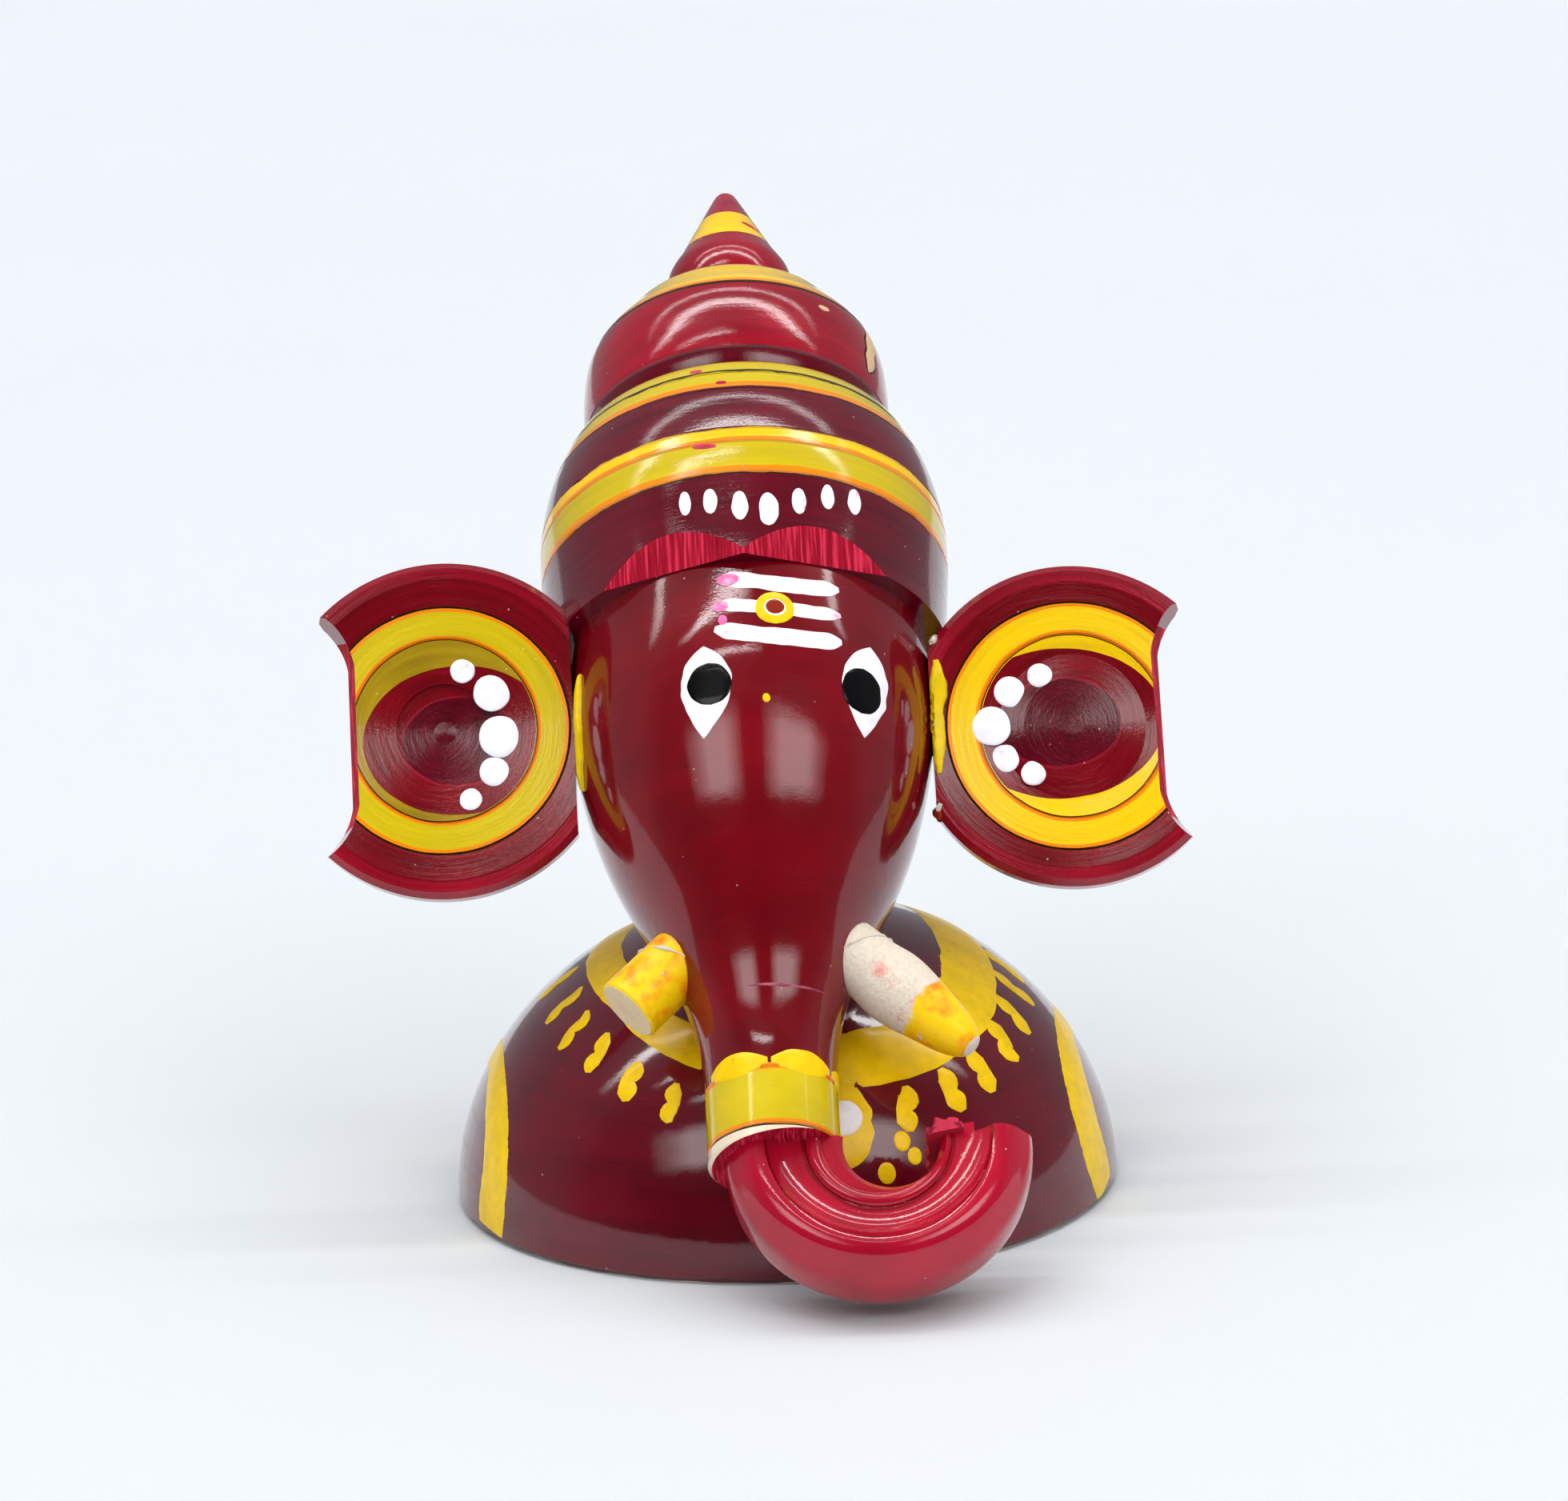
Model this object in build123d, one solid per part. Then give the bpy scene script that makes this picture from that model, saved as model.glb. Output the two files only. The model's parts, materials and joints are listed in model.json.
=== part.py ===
from build123d import *
import math
import os

# Turned and lacquered wooden Ganesha bust.  Millimetres, +Z up, origin at the
# centre of the dome's flat base, front of the figure towards -Y, its right-hand
# side of view towards +X.  Every piece is glued: nothing moves.

# ---------------------------------------------------------------- body dome
BODY_RADIUS = 30.0          # half-ellipsoid body, radius at the base
BODY_HEIGHT = 26.2
BODY_FOOT_CHAMFER = 0.6     # broken edge round the base
SEAT_FLAT_DEPTH = 0.7       # how far the seat for the head is sanded into the dome

# ------------------------------------------------- head and trunk, one turning
HEAD_LEAN = 45.0            # degrees the turned axis leans back from vertical
HEAD_CUT = 4.1              # sawn flat back of the head, behind its own axis
HEAD_SIDE = -0.9            # the head is glued a little off the body's centre ...
HEAD_TURN = 0.6             # ... and a little askew, degrees about the seat's normal
TRUNK_BELOW_SEAT = 11.6     # trunk end to centre of the seat, along the axis
TRUNK_RADIUS = 5.7
TRUNK_EDGE = 0.35           # chamfer round the trunk's end
THROAT_HEIGHT = 16.0        # heights are along the turned axis from the trunk's end
THROAT_RADIUS = 7.1
CHEEK_HEIGHT = 29.9
CHEEK_RADIUS = 13.25
TEMPLE_HEIGHT = 41.0
TEMPLE_RADIUS = 15.95
HEAD_HEIGHT = 50.8          # crown joint
HEAD_RADIUS = 16.3
BAND_BOTTOM = 1.3           # scribed lines of the trunk's painted band
BAND_TOP = 7.1
RUNOUT_HEIGHT = 30.0        # flat back turns outwards from here ...
RUNOUT_LENGTH = 17.0        # ... and leaves the head after this length

# ------------------------------------------------------------------- crown
CROWN_RIM_RADIUS = HEAD_RADIUS + 1.55
TIER_HEIGHTS = (11.2, 23.2) # widest ring of the big tier, crease above it
BIG_TIER_RADIUS = 18.5
CREASE_RADIUS = 13.3
SMALL_TIER_RADIUS = 14.1
SMALL_TIER_HEIGHT = 5.2     # crease to the small tier's widest ring
SHOULDER_HEIGHT = 10.6      # crease to the small tier's upper painted line
SHOULDER_RADIUS = 12.9
NECK_HEIGHT = 15.6          # crease to the neck under the finial
NECK_RADIUS = 5.6
FINIAL_RADIUS = 6.05
FINIAL_HEIGHT = 14.8        # neck to tip
TIP_RADIUS = 1.35
FACET_AZIMUTH = 21.0        # two facets filed on the front of the crown's rim
FACET_INSET = 1.4           # how far they reach in from the rim
FACET_SLOPE = 63.0          # degrees

# -------------------------------------------------------------------- ears
EAR_SEAT_DEPTH = 0.4        # flat sanded on each side of the head for its ear
EAR_HEIGHT = 42.6           # where the plane of the ears crosses the head's axis
EAR_FORWARD = 3.0           # plane of the ears ahead of that point
EAR_LEAN = 24.0             # degrees the ears lean back from vertical
EAR_THICKNESS = 2.6
EAR_EDGE = 0.55             # rounding of the ear's rim
EAR_LEFT_RADIUS = 15.1
EAR_LEFT_TRIM = 3.7         # cut off the disc, leaving the glued chord
EAR_LEFT_BITE = 7.5         # ear centre to the outer cut
EAR_LEFT_RISE = 1.7         # ear centre above the crossing with the axis
EAR_RIGHT_RADIUS = 14.4
EAR_RIGHT_TRIM = 2.0
EAR_RIGHT_BITE = 7.1
EAR_RIGHT_RISE = -0.8
BITE_HALF_HEIGHT = 6.2      # straight part of the outer cut, each way
BITE_FLARE = 6.0            # radius that flares the cut out to each horn
BITE_BEVEL = 20.0           # degrees the cut leans, so that it shows from the front
INNER_LINE = 8.3            # radii of the turned lines on an ear
OUTER_LINE = 11.1
BOSS_RADIUS = 4.3

# ------------------------------------------------------------------- tusks
TUSK_ANGLE = 45.0           # degrees from the trunk's direction
TUSK_CROSSING = 27.0        # height where both tusk axes meet the head's axis
TUSK_FORWARD = 1.5          # tusk axes ahead of the head's axis
TUSK_SOCKET = 9.5           # crossing to the bottom of the socket
TUSK_RADIUS = 2.95
TUSK_BULGE = 0.25           # extra radius of the long tusk at its fullest
SHORT_TUSK_END = 16.9       # crossing to the cut end
LONG_TUSK_END = 24.6        # crossing to the tip
LONG_TUSK_WAIST_RADIUS = 2.6
LONG_TUSK_TIP_RADIUS = 1.3

# -------------------------------------------------------------- trunk curl
CURL_RADIUS = 13.0          # half of a turned ring, its plane along the trunk
CURL_OFFSET = 8.7           # ring centre beside the trunk's axis
CURL_RISE = 0.55            # ring centre above the joint
CURL_HALF_THICKNESS = 4.3
CURL_BORE_RADIUS = 4.1
CURL_BORE_SHIFT = 1.1       # the bore is off the ring's centre
CURL_BORE_FLARE = 0.5
CURL_COVE_DEPTH = 1.5        # turned hollow of both faces, below the roll's crest
CURL_CREST_RADIUS = 9.6      # crest between the hollow and the outer roll
CURL_BEAD_RADIUS = 6.2       # small bead in the hollow
CURL_JOINT_TILT = 7.0        # degrees; the trunk is sawn shorter towards the curl's bore
CURL_CUT_RISE = 0.9         # free end above the joint
CURL_STUB_RISE = 1.8        # snapped-off stub beside the bore
CURL_STUB_WIDTH = 2.9

# ------------------------------------------------------- scribed lines, pegs
SCRIBE_WIDTH = 0.34
SCRIBE_DEPTH = 0.16
GLUE_GAP = 0.05             # drilled holes are this much larger in radius
NECK_DOWEL_DIAMETER = 4.0
NECK_DOWEL_IN_BODY = 9.0
NECK_DOWEL_IN_HEAD = 7.5
CROWN_DOWEL_DIAMETER = 5.0
CROWN_DOWEL_IN_HEAD = 9.0
CROWN_DOWEL_IN_CROWN = 8.0
PIN_DIAMETER = 1.4          # bamboo pins of the ears
PIN_IN_EAR = 3.5
PIN_IN_HEAD = 5.0
PIN_SETBACK = 0.25          # pins sit behind the middle of the ear's thickness
CURL_PIN_DIAMETER = 2.0
CURL_PIN_IN_TRUNK = 5.0
CURL_PIN_IN_CURL = 4.5
REACH = 60.0                # cutting tools run this far past the piece



def seat_centre():
    """Point where the dome is tangent to the head's sawn back, sunk by the flat."""
    lean = math.radians(HEAD_LEAN)
    front = Vector(0, -math.cos(lean), math.sin(lean))
    reach = math.hypot(BODY_RADIUS * front.Y, BODY_HEIGHT * front.Z)
    touch = Vector(0, BODY_RADIUS**2 * front.Y / reach, BODY_HEIGHT**2 * front.Z / reach)
    return touch - front * SEAT_FLAT_DEPTH


def seat_location():
    """Frame of the seat on the dome: Y along the head's lean, Z out of the dome."""
    return Location(seat_centre(), (90 - HEAD_LEAN, 0, 0))


def head_location():
    """Frame of the head: origin at the trunk's end, Z to the tip, -Y out of the face."""
    trunk_end = Pos(HEAD_SIDE, -TRUNK_BELOW_SEAT, HEAD_CUT)
    return seat_location() * trunk_end * Rot(0, 0, HEAD_TURN) * Rot(-90, 0, 0)


def ear_location(side):
    """Frame of an ear's glued chord in the head's frame: X outwards, Y up the ear."""
    lean = math.radians(HEAD_LEAN - EAR_LEAN)
    face = Vector(0, -math.cos(lean), -math.sin(lean))
    seat = Vector(side * ear_seat(), 0, EAR_HEIGHT) + face * EAR_FORWARD
    return Plane(origin=seat, x_dir=(side, 0, 0), z_dir=face * side).location


def ear_seat():
    """Distance from the head's axis to the flats that the ears are glued to."""
    return radius_on(head_curve(), EAR_HEIGHT) - EAR_SEAT_DEPTH


def turned(edges):
    """Solid turned about Z from a closed profile drawn as (radius, height)."""
    return Rot(90, 0, 0) * revolve(make_face(edges), Axis.Y)


def radius_on(curve, height):
    """Radius of a profile curve at a height, by halving between its ends."""
    low, high = 0.0, 1.0
    for step in range(40):
        middle = (low + high) / 2
        if curve.position_at(middle).Y < height:
            low = middle
        else:
            high = middle
    return curve.position_at(low).X


def scribed(solid, curve, heights):
    """Solid with a fine V line cut round it at each height of its profile curve."""
    half = SCRIBE_WIDTH / 2
    for height in heights:
        radius = radius_on(curve, height)
        line = Polyline(
            (radius + half, height - 2 * half),
            (radius - SCRIBE_DEPTH, height),
            (radius + half, height + 2 * half),
            close=True,
        )
        solid = solid - turned(line)
    return solid


def peg(diameter, below, above, clearance=0.0):
    """Round peg along Z, from below the XY plane to above it, or its drilled hole."""
    return Pos(0, 0, (above - below) / 2) * Cylinder(diameter / 2 + clearance, below + above)


# ---------------------------------------------------------------- main turnings

def head_curve():
    """Outline of trunk and head between the trunk's band and the crown joint."""
    points = [
        (TRUNK_RADIUS, BAND_TOP),
        (THROAT_RADIUS, THROAT_HEIGHT),
        (CHEEK_RADIUS, CHEEK_HEIGHT),
        (TEMPLE_RADIUS, TEMPLE_HEIGHT),
        (HEAD_RADIUS, HEAD_HEIGHT),
    ]
    return Spline(points, tangents=[(0, 1), (0, 1)])


def make_head():
    """Pear-shaped head and trunk, with its sawn back and the ear flats."""
    curve = head_curve()
    foot = Polyline(
        (0, 0),
        (TRUNK_RADIUS - TRUNK_EDGE, 0),
        (TRUNK_RADIUS, TRUNK_EDGE),
        (TRUNK_RADIUS, BAND_TOP),
    )
    top = Polyline((HEAD_RADIUS, HEAD_HEIGHT), (0, HEAD_HEIGHT), (0, 0))
    head = turned(foot.edges() + curve.edges() + top.edges())
    trunk_side = Line((TRUNK_RADIUS, 0), (TRUNK_RADIUS, BAND_TOP))
    head = scribed(head, trunk_side, (BAND_BOTTOM, BAND_TOP - SCRIBE_WIDTH))
    return head - sawn_back() - ear_flats() - trunk_end_cut()


def trunk_end_cut():
    """Tool for the sloping saw cut across the trunk's end."""
    block = Box(2 * REACH, REACH, REACH, align=(Align.CENTER, Align.CENTER, Align.MAX))
    return Pos(-TRUNK_RADIUS, 0, 0) * Rot(0, -CURL_JOINT_TILT, 0) * block


def sawn_back():
    """Tool for the flat back: straight along the trunk, then curving out."""
    drop = HEAD_RADIUS - HEAD_CUT + 0.5
    run_radius = (RUNOUT_LENGTH**2 + drop**2) / (2 * drop)
    sweep = math.degrees(math.asin(RUNOUT_LENGTH / run_radius))
    if drop > run_radius:
        sweep = 180 - sweep
    start = (0, HEAD_CUT, RUNOUT_HEIGHT)
    end = (0, HEAD_CUT + drop, RUNOUT_HEIGHT + RUNOUT_LENGTH)
    flat = Line((0, HEAD_CUT, -REACH), start)
    runout = TangentArc(start, end, tangent=(0, 0, 1))
    rest = Polyline(end, (0, REACH, RUNOUT_HEIGHT + RUNOUT_LENGTH), (0, REACH, -REACH), (0, HEAD_CUT, -REACH))
    outline = make_face(flat.edges() + runout.edges() + rest.edges())
    return extrude(outline, amount=REACH, dir=(1, 0, 0), both=True)


def ear_flats():
    """Tools for the flats on both sides of the head."""
    block = Box(REACH, REACH, HEAD_HEIGHT, align=(Align.MIN, Align.CENTER, Align.MIN))
    return [Pos(ear_seat(), 0, 0) * block, Rot(0, 0, 180) * Pos(ear_seat(), 0, 0) * block]


def make_crown():
    """Two-tiered crown with its finial, in the head's frame."""
    base = HEAD_HEIGHT
    widest = base + TIER_HEIGHTS[0]
    crease = base + TIER_HEIGHTS[1]
    neck = crease + NECK_HEIGHT
    tip = neck + FINIAL_HEIGHT
    bead_top = (FINIAL_RADIUS - 1.45, neck + 6.8)
    cone_end = (TIP_RADIUS, tip - 1.2)
    big = Spline(
        [
            (CROWN_RIM_RADIUS, base),
            (BIG_TIER_RADIUS, widest),
            (BIG_TIER_RADIUS - 1.1, widest + 6.8),
            (BIG_TIER_RADIUS - 2.4, widest + 9.9),
            (CREASE_RADIUS, crease),
        ],
        tangents=[(0, 1), (-1, 0)],
    )
    small = Spline(
        [
            (CREASE_RADIUS, crease),
            (SMALL_TIER_RADIUS, crease + SMALL_TIER_HEIGHT),
            (SHOULDER_RADIUS, crease + SHOULDER_HEIGHT),
            (SHOULDER_RADIUS - 1.6, crease + SHOULDER_HEIGHT + 2.0),
            (NECK_RADIUS, neck),
        ],
        tangents=[(0.6, 1), (-1, 0)],
    )
    finial = Spline(
        [
            (NECK_RADIUS, neck),
            (FINIAL_RADIUS, neck + 2.4),
            (FINIAL_RADIUS - 0.3, neck + 4.6),
            bead_top,
        ],
        tangents=[(0.4, 1), (-0.5, 1)],
    )
    cone = Line(bead_top, cone_end)
    cap = Spline([cone_end, (0, tip)], tangents=[cone % 1, (-1, 0)])
    close = Polyline((0, tip), (0, base), (CROWN_RIM_RADIUS, base))
    crown = turned(big.edges() + small.edges() + finial.edges() + cone.edges() + cap.edges() + close.edges())
    crown = scribed(crown, big, (base + 8.1, base + 11.4, base + 12.9, base + 18.1, base + 20.6))
    crown = scribed(crown, small, (crease + 1.9, crease + 9.9))
    return crown - rim_facets()


def rim_facets():
    """Tools for the two flats filed on the front of the crown's rim."""
    edge = CROWN_RIM_RADIUS - FACET_INSET
    block = Box(REACH, REACH, REACH, align=(Align.MIN, Align.CENTER, Align.CENTER))
    tool = Pos(edge, 0, HEAD_HEIGHT) * Rot(0, 90 - FACET_SLOPE, 0) * block
    tool = tool & Pos(0, 0, HEAD_HEIGHT) * Cylinder(REACH, SMALL_TIER_HEIGHT * 2)
    return [Rot(0, 0, -90 - FACET_AZIMUTH) * tool, Rot(0, 0, -90 + FACET_AZIMUTH) * tool]


# ---------------------------------------------------------------------- ears

def ear_blank(radius, dished):
    """Turned disc of an ear about Z: back flat, face dished or bossed."""
    half = EAR_THICKNESS / 2
    rim = radius - EAR_EDGE
    if dished:
        face = [(0, half - 1.5), (1.0, half - 1.75), (BOSS_RADIUS, half - 1.45), (BOSS_RADIUS, half - 1.15)]
    else:
        face = [(0, half - 0.1), (BOSS_RADIUS, half - 0.45), (BOSS_RADIUS + 2.2, half - 0.95)]
    face += [
        (INNER_LINE, half - 0.55),
        (OUTER_LINE, half - 0.45),
        (radius - 1.6, half),
    ]
    back = -half
    profile = Polyline(
        [(r, z) for r, z in face]
        + [(rim, half), (radius, half - EAR_EDGE), (radius, back + EAR_EDGE)]
        + [(rim, back), (0, back)],
        close=True,
    )
    disc = turned(profile)
    for line, level in ((INNER_LINE, half - 0.55), (OUTER_LINE, half - 0.45)):
        groove = Polyline(
            (line - SCRIBE_WIDTH, level + SCRIBE_WIDTH),
            (line, level - SCRIBE_DEPTH),
            (line + SCRIBE_WIDTH, level + SCRIBE_WIDTH),
            close=True,
        )
        disc = disc - turned(groove)
    return disc


def bite_tool(side, radius, bite):
    """Tool for an ear's outer cut: a straight side, flared to both horns and leaning out to the back."""
    top = radius + 1
    flare_x = bite + BITE_FLARE
    lower = Polyline(
        (bite, -BITE_HALF_HEIGHT),
        (bite, BITE_HALF_HEIGHT),
    )
    upper_arc = ThreePointArc(
        (bite, BITE_HALF_HEIGHT),
        (bite + BITE_FLARE * 0.22, BITE_HALF_HEIGHT + BITE_FLARE * 0.52),
        (flare_x, BITE_HALF_HEIGHT + BITE_FLARE),
    )
    lower_arc = ThreePointArc(
        (bite, -BITE_HALF_HEIGHT),
        (bite + BITE_FLARE * 0.22, -BITE_HALF_HEIGHT - BITE_FLARE * 0.52),
        (flare_x, -BITE_HALF_HEIGHT - BITE_FLARE),
    )
    rest = Polyline(
        (flare_x, BITE_HALF_HEIGHT + BITE_FLARE),
        (flare_x + top, BITE_HALF_HEIGHT + BITE_FLARE),
        (flare_x + top, -BITE_HALF_HEIGHT - BITE_FLARE),
        (flare_x, -BITE_HALF_HEIGHT - BITE_FLARE),
    )
    outline = make_face(lower.edges() + upper_arc.edges() + lower_arc.edges() + rest.edges())
    tool = extrude(outline, amount=2 * EAR_THICKNESS, both=True)
    face = Pos(bite, 0, side * EAR_THICKNESS / 2)
    return face * Rot(0, -side * BITE_BEVEL, 0) * face.inverse() * tool


def make_ear(side, radius, trim, bite, rise, dished):
    """Ear in its own frame: the glued chord on the YZ plane, the disc towards +X."""
    chord = radius - trim
    disc = ear_blank(radius, dished)
    if side < 0:
        disc = mirror(disc, about=Plane.XY)
    chord_block = Pos(-chord, 0, 0) * Box(REACH, REACH, REACH, align=(Align.MAX, Align.CENTER, Align.CENTER))
    ear = disc - chord_block - bite_tool(side, radius, bite)
    return Pos(chord, rise, 0) * ear


# --------------------------------------------------------------------- tusks

def tusk_location(side):
    """Frame of a tusk in the head's frame: origin on the crossing, Z to its tip."""
    return Pos(0, -TUSK_FORWARD, TUSK_CROSSING) * Rot(0, side * (180 - TUSK_ANGLE), 0)


def tusk_socket(side):
    """Tool for the drilled socket of a tusk."""
    socket = Pos(0, 0, TUSK_SOCKET) * Cylinder(
        TUSK_RADIUS + GLUE_GAP, REACH, align=(Align.CENTER, Align.CENTER, Align.MIN)
    )
    return tusk_location(side) * socket


def make_short_tusk():
    """Straight tusk, sawn off square."""
    length = SHORT_TUSK_END - TUSK_SOCKET
    tusk = Cylinder(TUSK_RADIUS, length, align=(Align.CENTER, Align.CENTER, Align.MIN))
    end = tusk.edges().filter_by(GeomType.CIRCLE).sort_by(Axis.Z)[-1]
    tusk = chamfer(end, 0.2)
    return tusk_location(-1) * Pos(0, 0, TUSK_SOCKET) * tusk


def make_long_tusk():
    """Tusk that bulges beyond its socket and tapers to a blunt tip."""
    surface = TUSK_SOCKET + TUSK_RADIUS * 2
    start = (TUSK_RADIUS, surface - TUSK_RADIUS)
    fullest = (TUSK_RADIUS + TUSK_BULGE, surface - 0.6)
    waist = (LONG_TUSK_WAIST_RADIUS, (surface + LONG_TUSK_END) / 2 - 0.2)
    shoulder = (LONG_TUSK_TIP_RADIUS, LONG_TUSK_END - 0.6)
    tip = (0, LONG_TUSK_END)
    side = Spline([start, fullest, waist, shoulder, tip], tangents=[(0, 1), (-1, 0)])
    socket = Polyline(tip, (0, TUSK_SOCKET), (TUSK_RADIUS, TUSK_SOCKET), start)
    return tusk_location(1) * turned(side.edges() + socket.edges())


# ---------------------------------------------------------------- trunk curl

def curl_section():
    """Half of the ring's section, beside the plane of the ring: hollow, bead, crest and outer roll."""
    floor = CURL_HALF_THICKNESS - CURL_COVE_DEPTH
    crest = (CURL_CREST_RADIUS, CURL_HALF_THICKNESS - 0.1)
    rim = (CURL_RADIUS, 0)
    middle = Polyline((0, 0), (0, floor), (CURL_BEAD_RADIUS - 1.4, floor))
    bead = ThreePointArc(
        (CURL_BEAD_RADIUS - 1.4, floor), (CURL_BEAD_RADIUS - 0.7, floor + 0.45), (CURL_BEAD_RADIUS, floor)
    )
    hollow = ThreePointArc((CURL_BEAD_RADIUS, floor), (CURL_BEAD_RADIUS + 1.9, floor + 0.3), crest)
    roll = Spline(
        [crest, (CURL_CREST_RADIUS + 1.3, CURL_HALF_THICKNESS - 0.25), (CURL_RADIUS - 0.7, 2.5), rim],
        tangents=[(1, 0.35), (0, -1)],
    )
    close = Line(rim, (0, 0))
    return make_face(middle.edges() + bead.edges() + hollow.edges() + roll.edges() + close.edges())


def make_curl():
    """Half of a turned ring, open to the side, in the head's frame."""
    section = curl_section()
    ring = revolve(section, Axis.Y) + revolve(mirror(section, about=Plane.XZ), Axis.Y)
    ring = ring - Pos(CURL_BORE_SHIFT, 0, 0) * bore_tool()
    return Pos(CURL_OFFSET, 0, CURL_RISE) * ring - end_cuts()


def bore_tool():
    """Tool for the curl's bore, flared at both faces."""
    face = CURL_HALF_THICKNESS - CURL_COVE_DEPTH
    lip = face - CURL_BORE_FLARE
    outline = Polyline(
        (0, -REACH),
        (CURL_BORE_RADIUS + CURL_BORE_FLARE, -REACH),
        (CURL_BORE_RADIUS + CURL_BORE_FLARE, -face),
        (CURL_BORE_RADIUS, -lip),
        (CURL_BORE_RADIUS, lip),
        (CURL_BORE_RADIUS + CURL_BORE_FLARE, face),
        (CURL_BORE_RADIUS + CURL_BORE_FLARE, REACH),
        (0, REACH),
        close=True,
    )
    return revolve(make_face(outline), Axis.Y)


def joint_block():
    """Everything on the trunk's side of the sloping glue joint, in the head's frame."""
    block = Box(2 * REACH, REACH, REACH, align=(Align.CENTER, Align.CENTER, Align.MIN))
    return Pos(-TRUNK_RADIUS, 0, 0) * Rot(0, -CURL_JOINT_TILT, 0) * block


def end_cuts():
    """Tools for the curl's joint face and for its free end with the snapped stub."""
    stub_side = CURL_OFFSET + CURL_BORE_SHIFT + CURL_BORE_RADIUS + CURL_STUB_WIDTH
    near = Box(REACH, 2 * REACH, 2 * REACH, align=(Align.MAX, Align.CENTER, Align.CENTER))
    free = Box(REACH, REACH, REACH, align=(Align.MIN, Align.CENTER, Align.MIN))
    return [
        joint_block() & Pos(CURL_OFFSET, 0, 0) * near,
        Pos(CURL_OFFSET, 0, CURL_STUB_RISE) * free,
        Pos(stub_side, 0, CURL_CUT_RISE) * free,
    ]


# ----------------------------------------------------------------- body dome

def make_body():
    """Half-ellipsoid body with the sanded seat and the dowel hole."""
    steps = [math.radians(15 * step) for step in range(7)]
    side = Spline(
        [(BODY_RADIUS * math.cos(turn), BODY_HEIGHT * math.sin(turn)) for turn in steps],
        tangents=[(0, 1), (-1, 0)],
    )
    close = Polyline((0, BODY_HEIGHT), (0, 0), (BODY_RADIUS, 0))
    dome = turned(side.edges() + close.edges())
    edge = Polyline(
        (BODY_RADIUS - BODY_FOOT_CHAMFER, 0),
        (BODY_RADIUS + BODY_FOOT_CHAMFER, 0),
        (BODY_RADIUS + BODY_FOOT_CHAMFER, 2 * BODY_FOOT_CHAMFER),
        close=True,
    )
    dome = dome - turned(edge)
    seat = seat_location()
    flat = Box(REACH, REACH, REACH, align=(Align.CENTER, Align.CENTER, Align.MIN))
    return dome - seat * flat - seat * peg(NECK_DOWEL_DIAMETER, NECK_DOWEL_IN_BODY, 1, GLUE_GAP)


# ------------------------------------------------------------------ assembly

def make_all():
    """Every piece of the idol, by node name, in place."""
    head_frame = head_location()
    seat = seat_location()
    crown_joint = head_frame * Pos(0, 0, HEAD_HEIGHT)
    neck_hole = seat * peg(NECK_DOWEL_DIAMETER, 1, NECK_DOWEL_IN_HEAD, GLUE_GAP)
    head = head_frame * (make_head() - tusk_socket(-1) - tusk_socket(1))
    head = head - neck_hole
    head = head - crown_joint * peg(CROWN_DOWEL_DIAMETER, CROWN_DOWEL_IN_HEAD, 1, GLUE_GAP)
    head = head - head_frame * peg(CURL_PIN_DIAMETER, 1, CURL_PIN_IN_TRUNK, GLUE_GAP)
    crown = head_frame * make_crown()
    crown = crown - crown_joint * peg(CROWN_DOWEL_DIAMETER, 1, CROWN_DOWEL_IN_CROWN, GLUE_GAP)
    curl = head_frame * make_curl()
    curl = curl - head_frame * peg(CURL_PIN_DIAMETER, CURL_PIN_IN_CURL, 1, GLUE_GAP)
    pieces = {
        "body_dome": make_body(),
        "crown": crown,
        "tusk_short": head_frame * make_short_tusk(),
        "tusk_long": head_frame * make_long_tusk(),
        "trunk_curl": curl,
        "neck_dowel": seat * peg(NECK_DOWEL_DIAMETER, NECK_DOWEL_IN_BODY, NECK_DOWEL_IN_HEAD),
        "crown_dowel": crown_joint * peg(CROWN_DOWEL_DIAMETER, CROWN_DOWEL_IN_HEAD, CROWN_DOWEL_IN_CROWN),
        "curl_pin": head_frame * peg(CURL_PIN_DIAMETER, CURL_PIN_IN_CURL, CURL_PIN_IN_TRUNK),
    }
    sizes = {
        "left": (-1, EAR_LEFT_RADIUS, EAR_LEFT_TRIM, EAR_LEFT_BITE, EAR_LEFT_RISE, True),
        "right": (1, EAR_RIGHT_RADIUS, EAR_RIGHT_TRIM, EAR_RIGHT_BITE, EAR_RIGHT_RISE, False),
    }
    for name, size in sizes.items():
        side = size[0]
        seat_frame = head_frame * ear_location(side)
        frame = seat_frame * Pos(0, 0, -side * PIN_SETBACK) * Rot(0, 90, 0)
        ear = seat_frame * make_ear(*size) - crown
        pieces["ear_" + name] = ear - frame * peg(PIN_DIAMETER, 1, PIN_IN_EAR, GLUE_GAP)
        head = head - frame * peg(PIN_DIAMETER, PIN_IN_HEAD, 1, GLUE_GAP)
        pieces["ear_pin_" + name] = frame * peg(PIN_DIAMETER, PIN_IN_HEAD, PIN_IN_EAR)
    pieces["head_trunk"] = head
    return pieces


def main():
    os.makedirs("parts", exist_ok=True)
    for name, piece in make_all().items():
        solids = piece.solids()
        export_step(solids[0] if len(solids) == 1 else Compound(solids), "parts/" + name + ".step")
        print(name, len(solids), "solid, volume", round(sum(s.volume for s in solids), 1))


main()
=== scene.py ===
"""Lacquered wooden Ganesha figure: finishes, brush paint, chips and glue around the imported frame."""
import json
import logging
import math
import random
from dataclasses import dataclass, field
from enum import Enum

import bpy
from mathutils import Matrix, Vector, noise

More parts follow.
